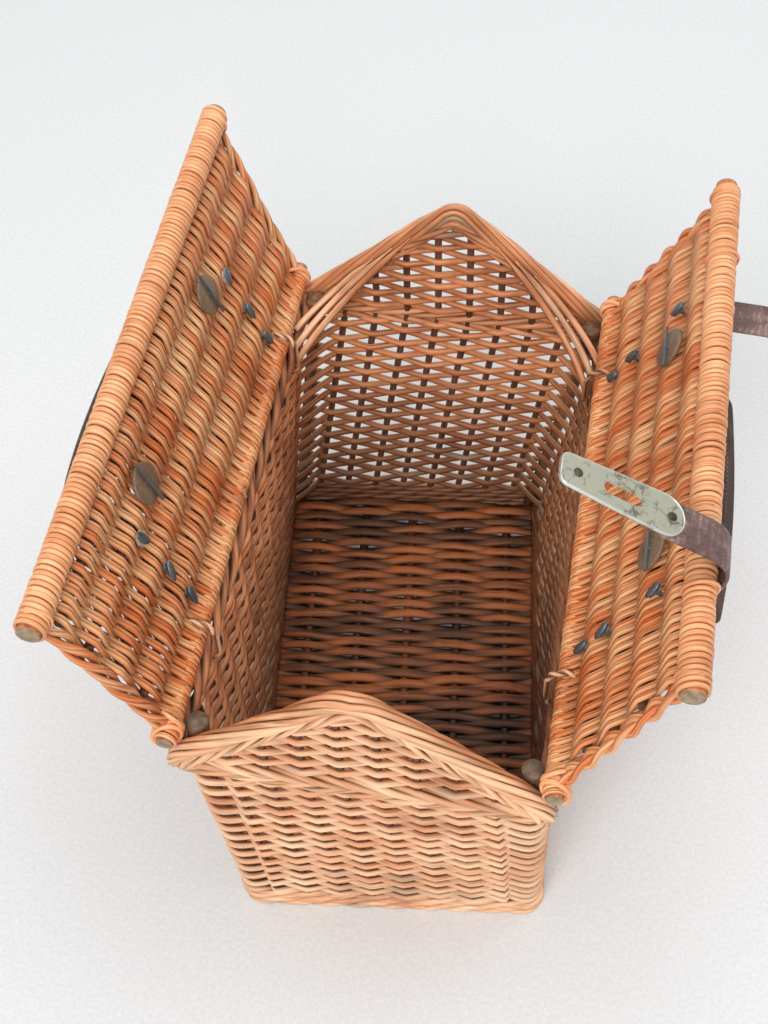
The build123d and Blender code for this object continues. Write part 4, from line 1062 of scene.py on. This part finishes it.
hasp_plate = old_metal("hasp_plate", (186, 186, 168), (156, 152, 130), metallic=0.5, scrolls=0.9)
nickel = old_metal("nickel", (214, 218, 208), (150, 150, 134), rough=0.3, metallic=0.7)
tarnished = old_metal("tarnished", (122, 134, 140), (70, 72, 70), rough=0.4)
dull_rivet = old_metal("dull_rivet", (104, 96, 80), (62, 54, 44), rough=0.5)
for name in ("front", "rear"):
    finish_nodes(hasp_plate, f"{name}_hasp")
    finish_nodes(nickel, f"{name}_turn_staple")
finish_nodes(nickel, "staple_plates")
for side in SIDES:
    finish_nodes(tarnished, f"{side}_handle_eyes", f"{side}_strap_pins")

# %% Folded edges and rivets of the hasps
DOME = np.array([[0.0, 2.3], [0.35, 2.3], [0.75, 1.9], [1.0, 1.2], [1.1, 0.15]])
rim = np.vstack([
    [[99.4, -5.0], [99.4, 5.0], [98.4, 7.2], [96.4, 8.2], [70.0, 9.6]],
    10.6 * directions(np.linspace(np.pi / 2, 3 * np.pi / 2, 13)) + [45, 0],
    [[70.0, -9.6], [96.4, -8.2], [98.4, -7.2]],
])
for name in HASP_STRAPS:
    _, seat, _, _, tail_axis, tail_out = strap_frame(name)
    points = seat + rim[:, :1] * tail_axis + rim[:, 1:] * ALONG + 2.0 * tail_out
    edge = sweep(points[None], tail_out, 1.3, 2.4, circle(8), closed=True)
    make_piece(f"{name}_hasp_rim", [edge], f"{name}_tail", nickel)
    heads = []
    for place, back in ((41.0, -1.2), (91.0, 1.2)):
        for level, away in ((2.75, 1.0), (back, -1.0)):
            points = seat + place * tail_axis + (level + away * DOME[:, :1]) * tail_out
            heads.append(sweep(points[None], ALONG, 2 * DOME[:, 1], 2 * DOME[:, 1], circle(14)))
    make_piece(f"{name}_rivet_heads", heads, f"{name}_tail", dull_rivet, f"{name}_hasp_rivets")

# %% Leaf-shaped tails of the pins on the inner faces
share = np.linspace(-1, 1, 11)
girth = 5.4 * np.sqrt(1.02 - share ** 2)
for side in SIDES:
    leaves = []
    _, v_axis, h_axis = lid_axes(side)
    for reach in ((20.0, 43.0, 72.2) if side == "left" else (20.0, 41.0, 88.0)):
        for along in STRAP_PLACES:
            turn = chance.uniform(-0.5, 0.5)
            way = np.cos(turn) * v_axis + np.sin(turn) * ALONG
            spot = on_lid(side, reach, along, -6.4) + 6.0 * share[:, None] * way
            leaves.append(sweep(spot[None], h_axis, girth, 0.35 * girth + 0.4, circle(12)))
    make_piece(f"{side}_pin_leaves", leaves, f"{side}_lid", tarnished)

# %% [markdown]
# ## Floor, light and camera
# A pale sheet under the basket, a broad soft lamp over the camera's left shoulder and an
# even pale sky, which keep the shadows soft. The camera was worked out from corner points.

# %% Stage, lamps and camera
ground = bpy.data.meshes.new("ground")
ground.from_pydata([(-4, -4, 0), (4, -4, 0), (4, 4, 0), (-4, 4, 0)], [], [(0, 1, 2, 3)])
ground_piece = add_object("ground", ground)
material, _, shader, place = new_material("pale_cloth")
threads = place.noise(420.0, 2.0)
dress(shader, threads.step(0.2, 0.8).mix((221, 223, 224), (231, 233, 234)), 0.9, threads, 0.3, 0.0006)
ground.materials.append(material)

world = bpy.data.worlds.new("sky")
bpy.context.scene.world = world
world.use_nodes = True
sky = world.node_tree.nodes["Background"]
sky.inputs["Color"].default_value = (1.0, 1.0, 1.0, 1)
sky.inputs["Strength"].default_value = 0.54


def put(thing, right, up, back, place):
    """Places a lamp or the camera, whose view runs against back."""
    matrix = np.eye(4)
    matrix[:3] = np.stack([right, up, back, place], -1)
    thing.matrix_world = mathutils.Matrix(matrix.tolist())


def lamp(name, place, target, size, power):
    """A square area lamp at a place in metres, facing its target."""
    data = bpy.data.lights.new(name, "AREA")
    data.size, data.energy = size, power
    back = unit(np.subtract(place, target))
    side = unit(np.cross(UP, back))
    put(add_object(name, data), side, np.cross(back, side), back, place)


lamp("key", (-0.2, -2.3, 2.5), (0, 0, 0.15), 1.6, 68.0)
lamp("top", (0.25, 0.55, 2.1), (0, 0.1, 0.1), 1.7, 17.0)

camera = add_object("camera", bpy.data.cameras.new("camera"))
azimuth, elevation, roll = 0.21146, 0.94292, -0.04737
FOCAL, PICTURE_HEIGHT, SENSOR = 1550.0, 1024.0, 36.0
back = np.array([
    np.sin(azimuth) * np.cos(elevation), -np.cos(azimuth) * np.cos(elevation), np.sin(elevation)
])
right = unit(np.cross(-back, UP))
up = np.cross(right, -back)
rolled = right * np.cos(roll) + up * np.sin(roll), -right * np.sin(roll) + up * np.cos(roll)
put(camera, *rolled, back, (0.09396, -0.51314, 0.92174))
camera.data.sensor_width, camera.data.lens = SENSOR, FOCAL * SENSOR / PICTURE_HEIGHT
camera.data.clip_start = 0.01
bpy.context.scene.camera = camera
bpy.context.scene.view_settings.view_transform = "Standard"
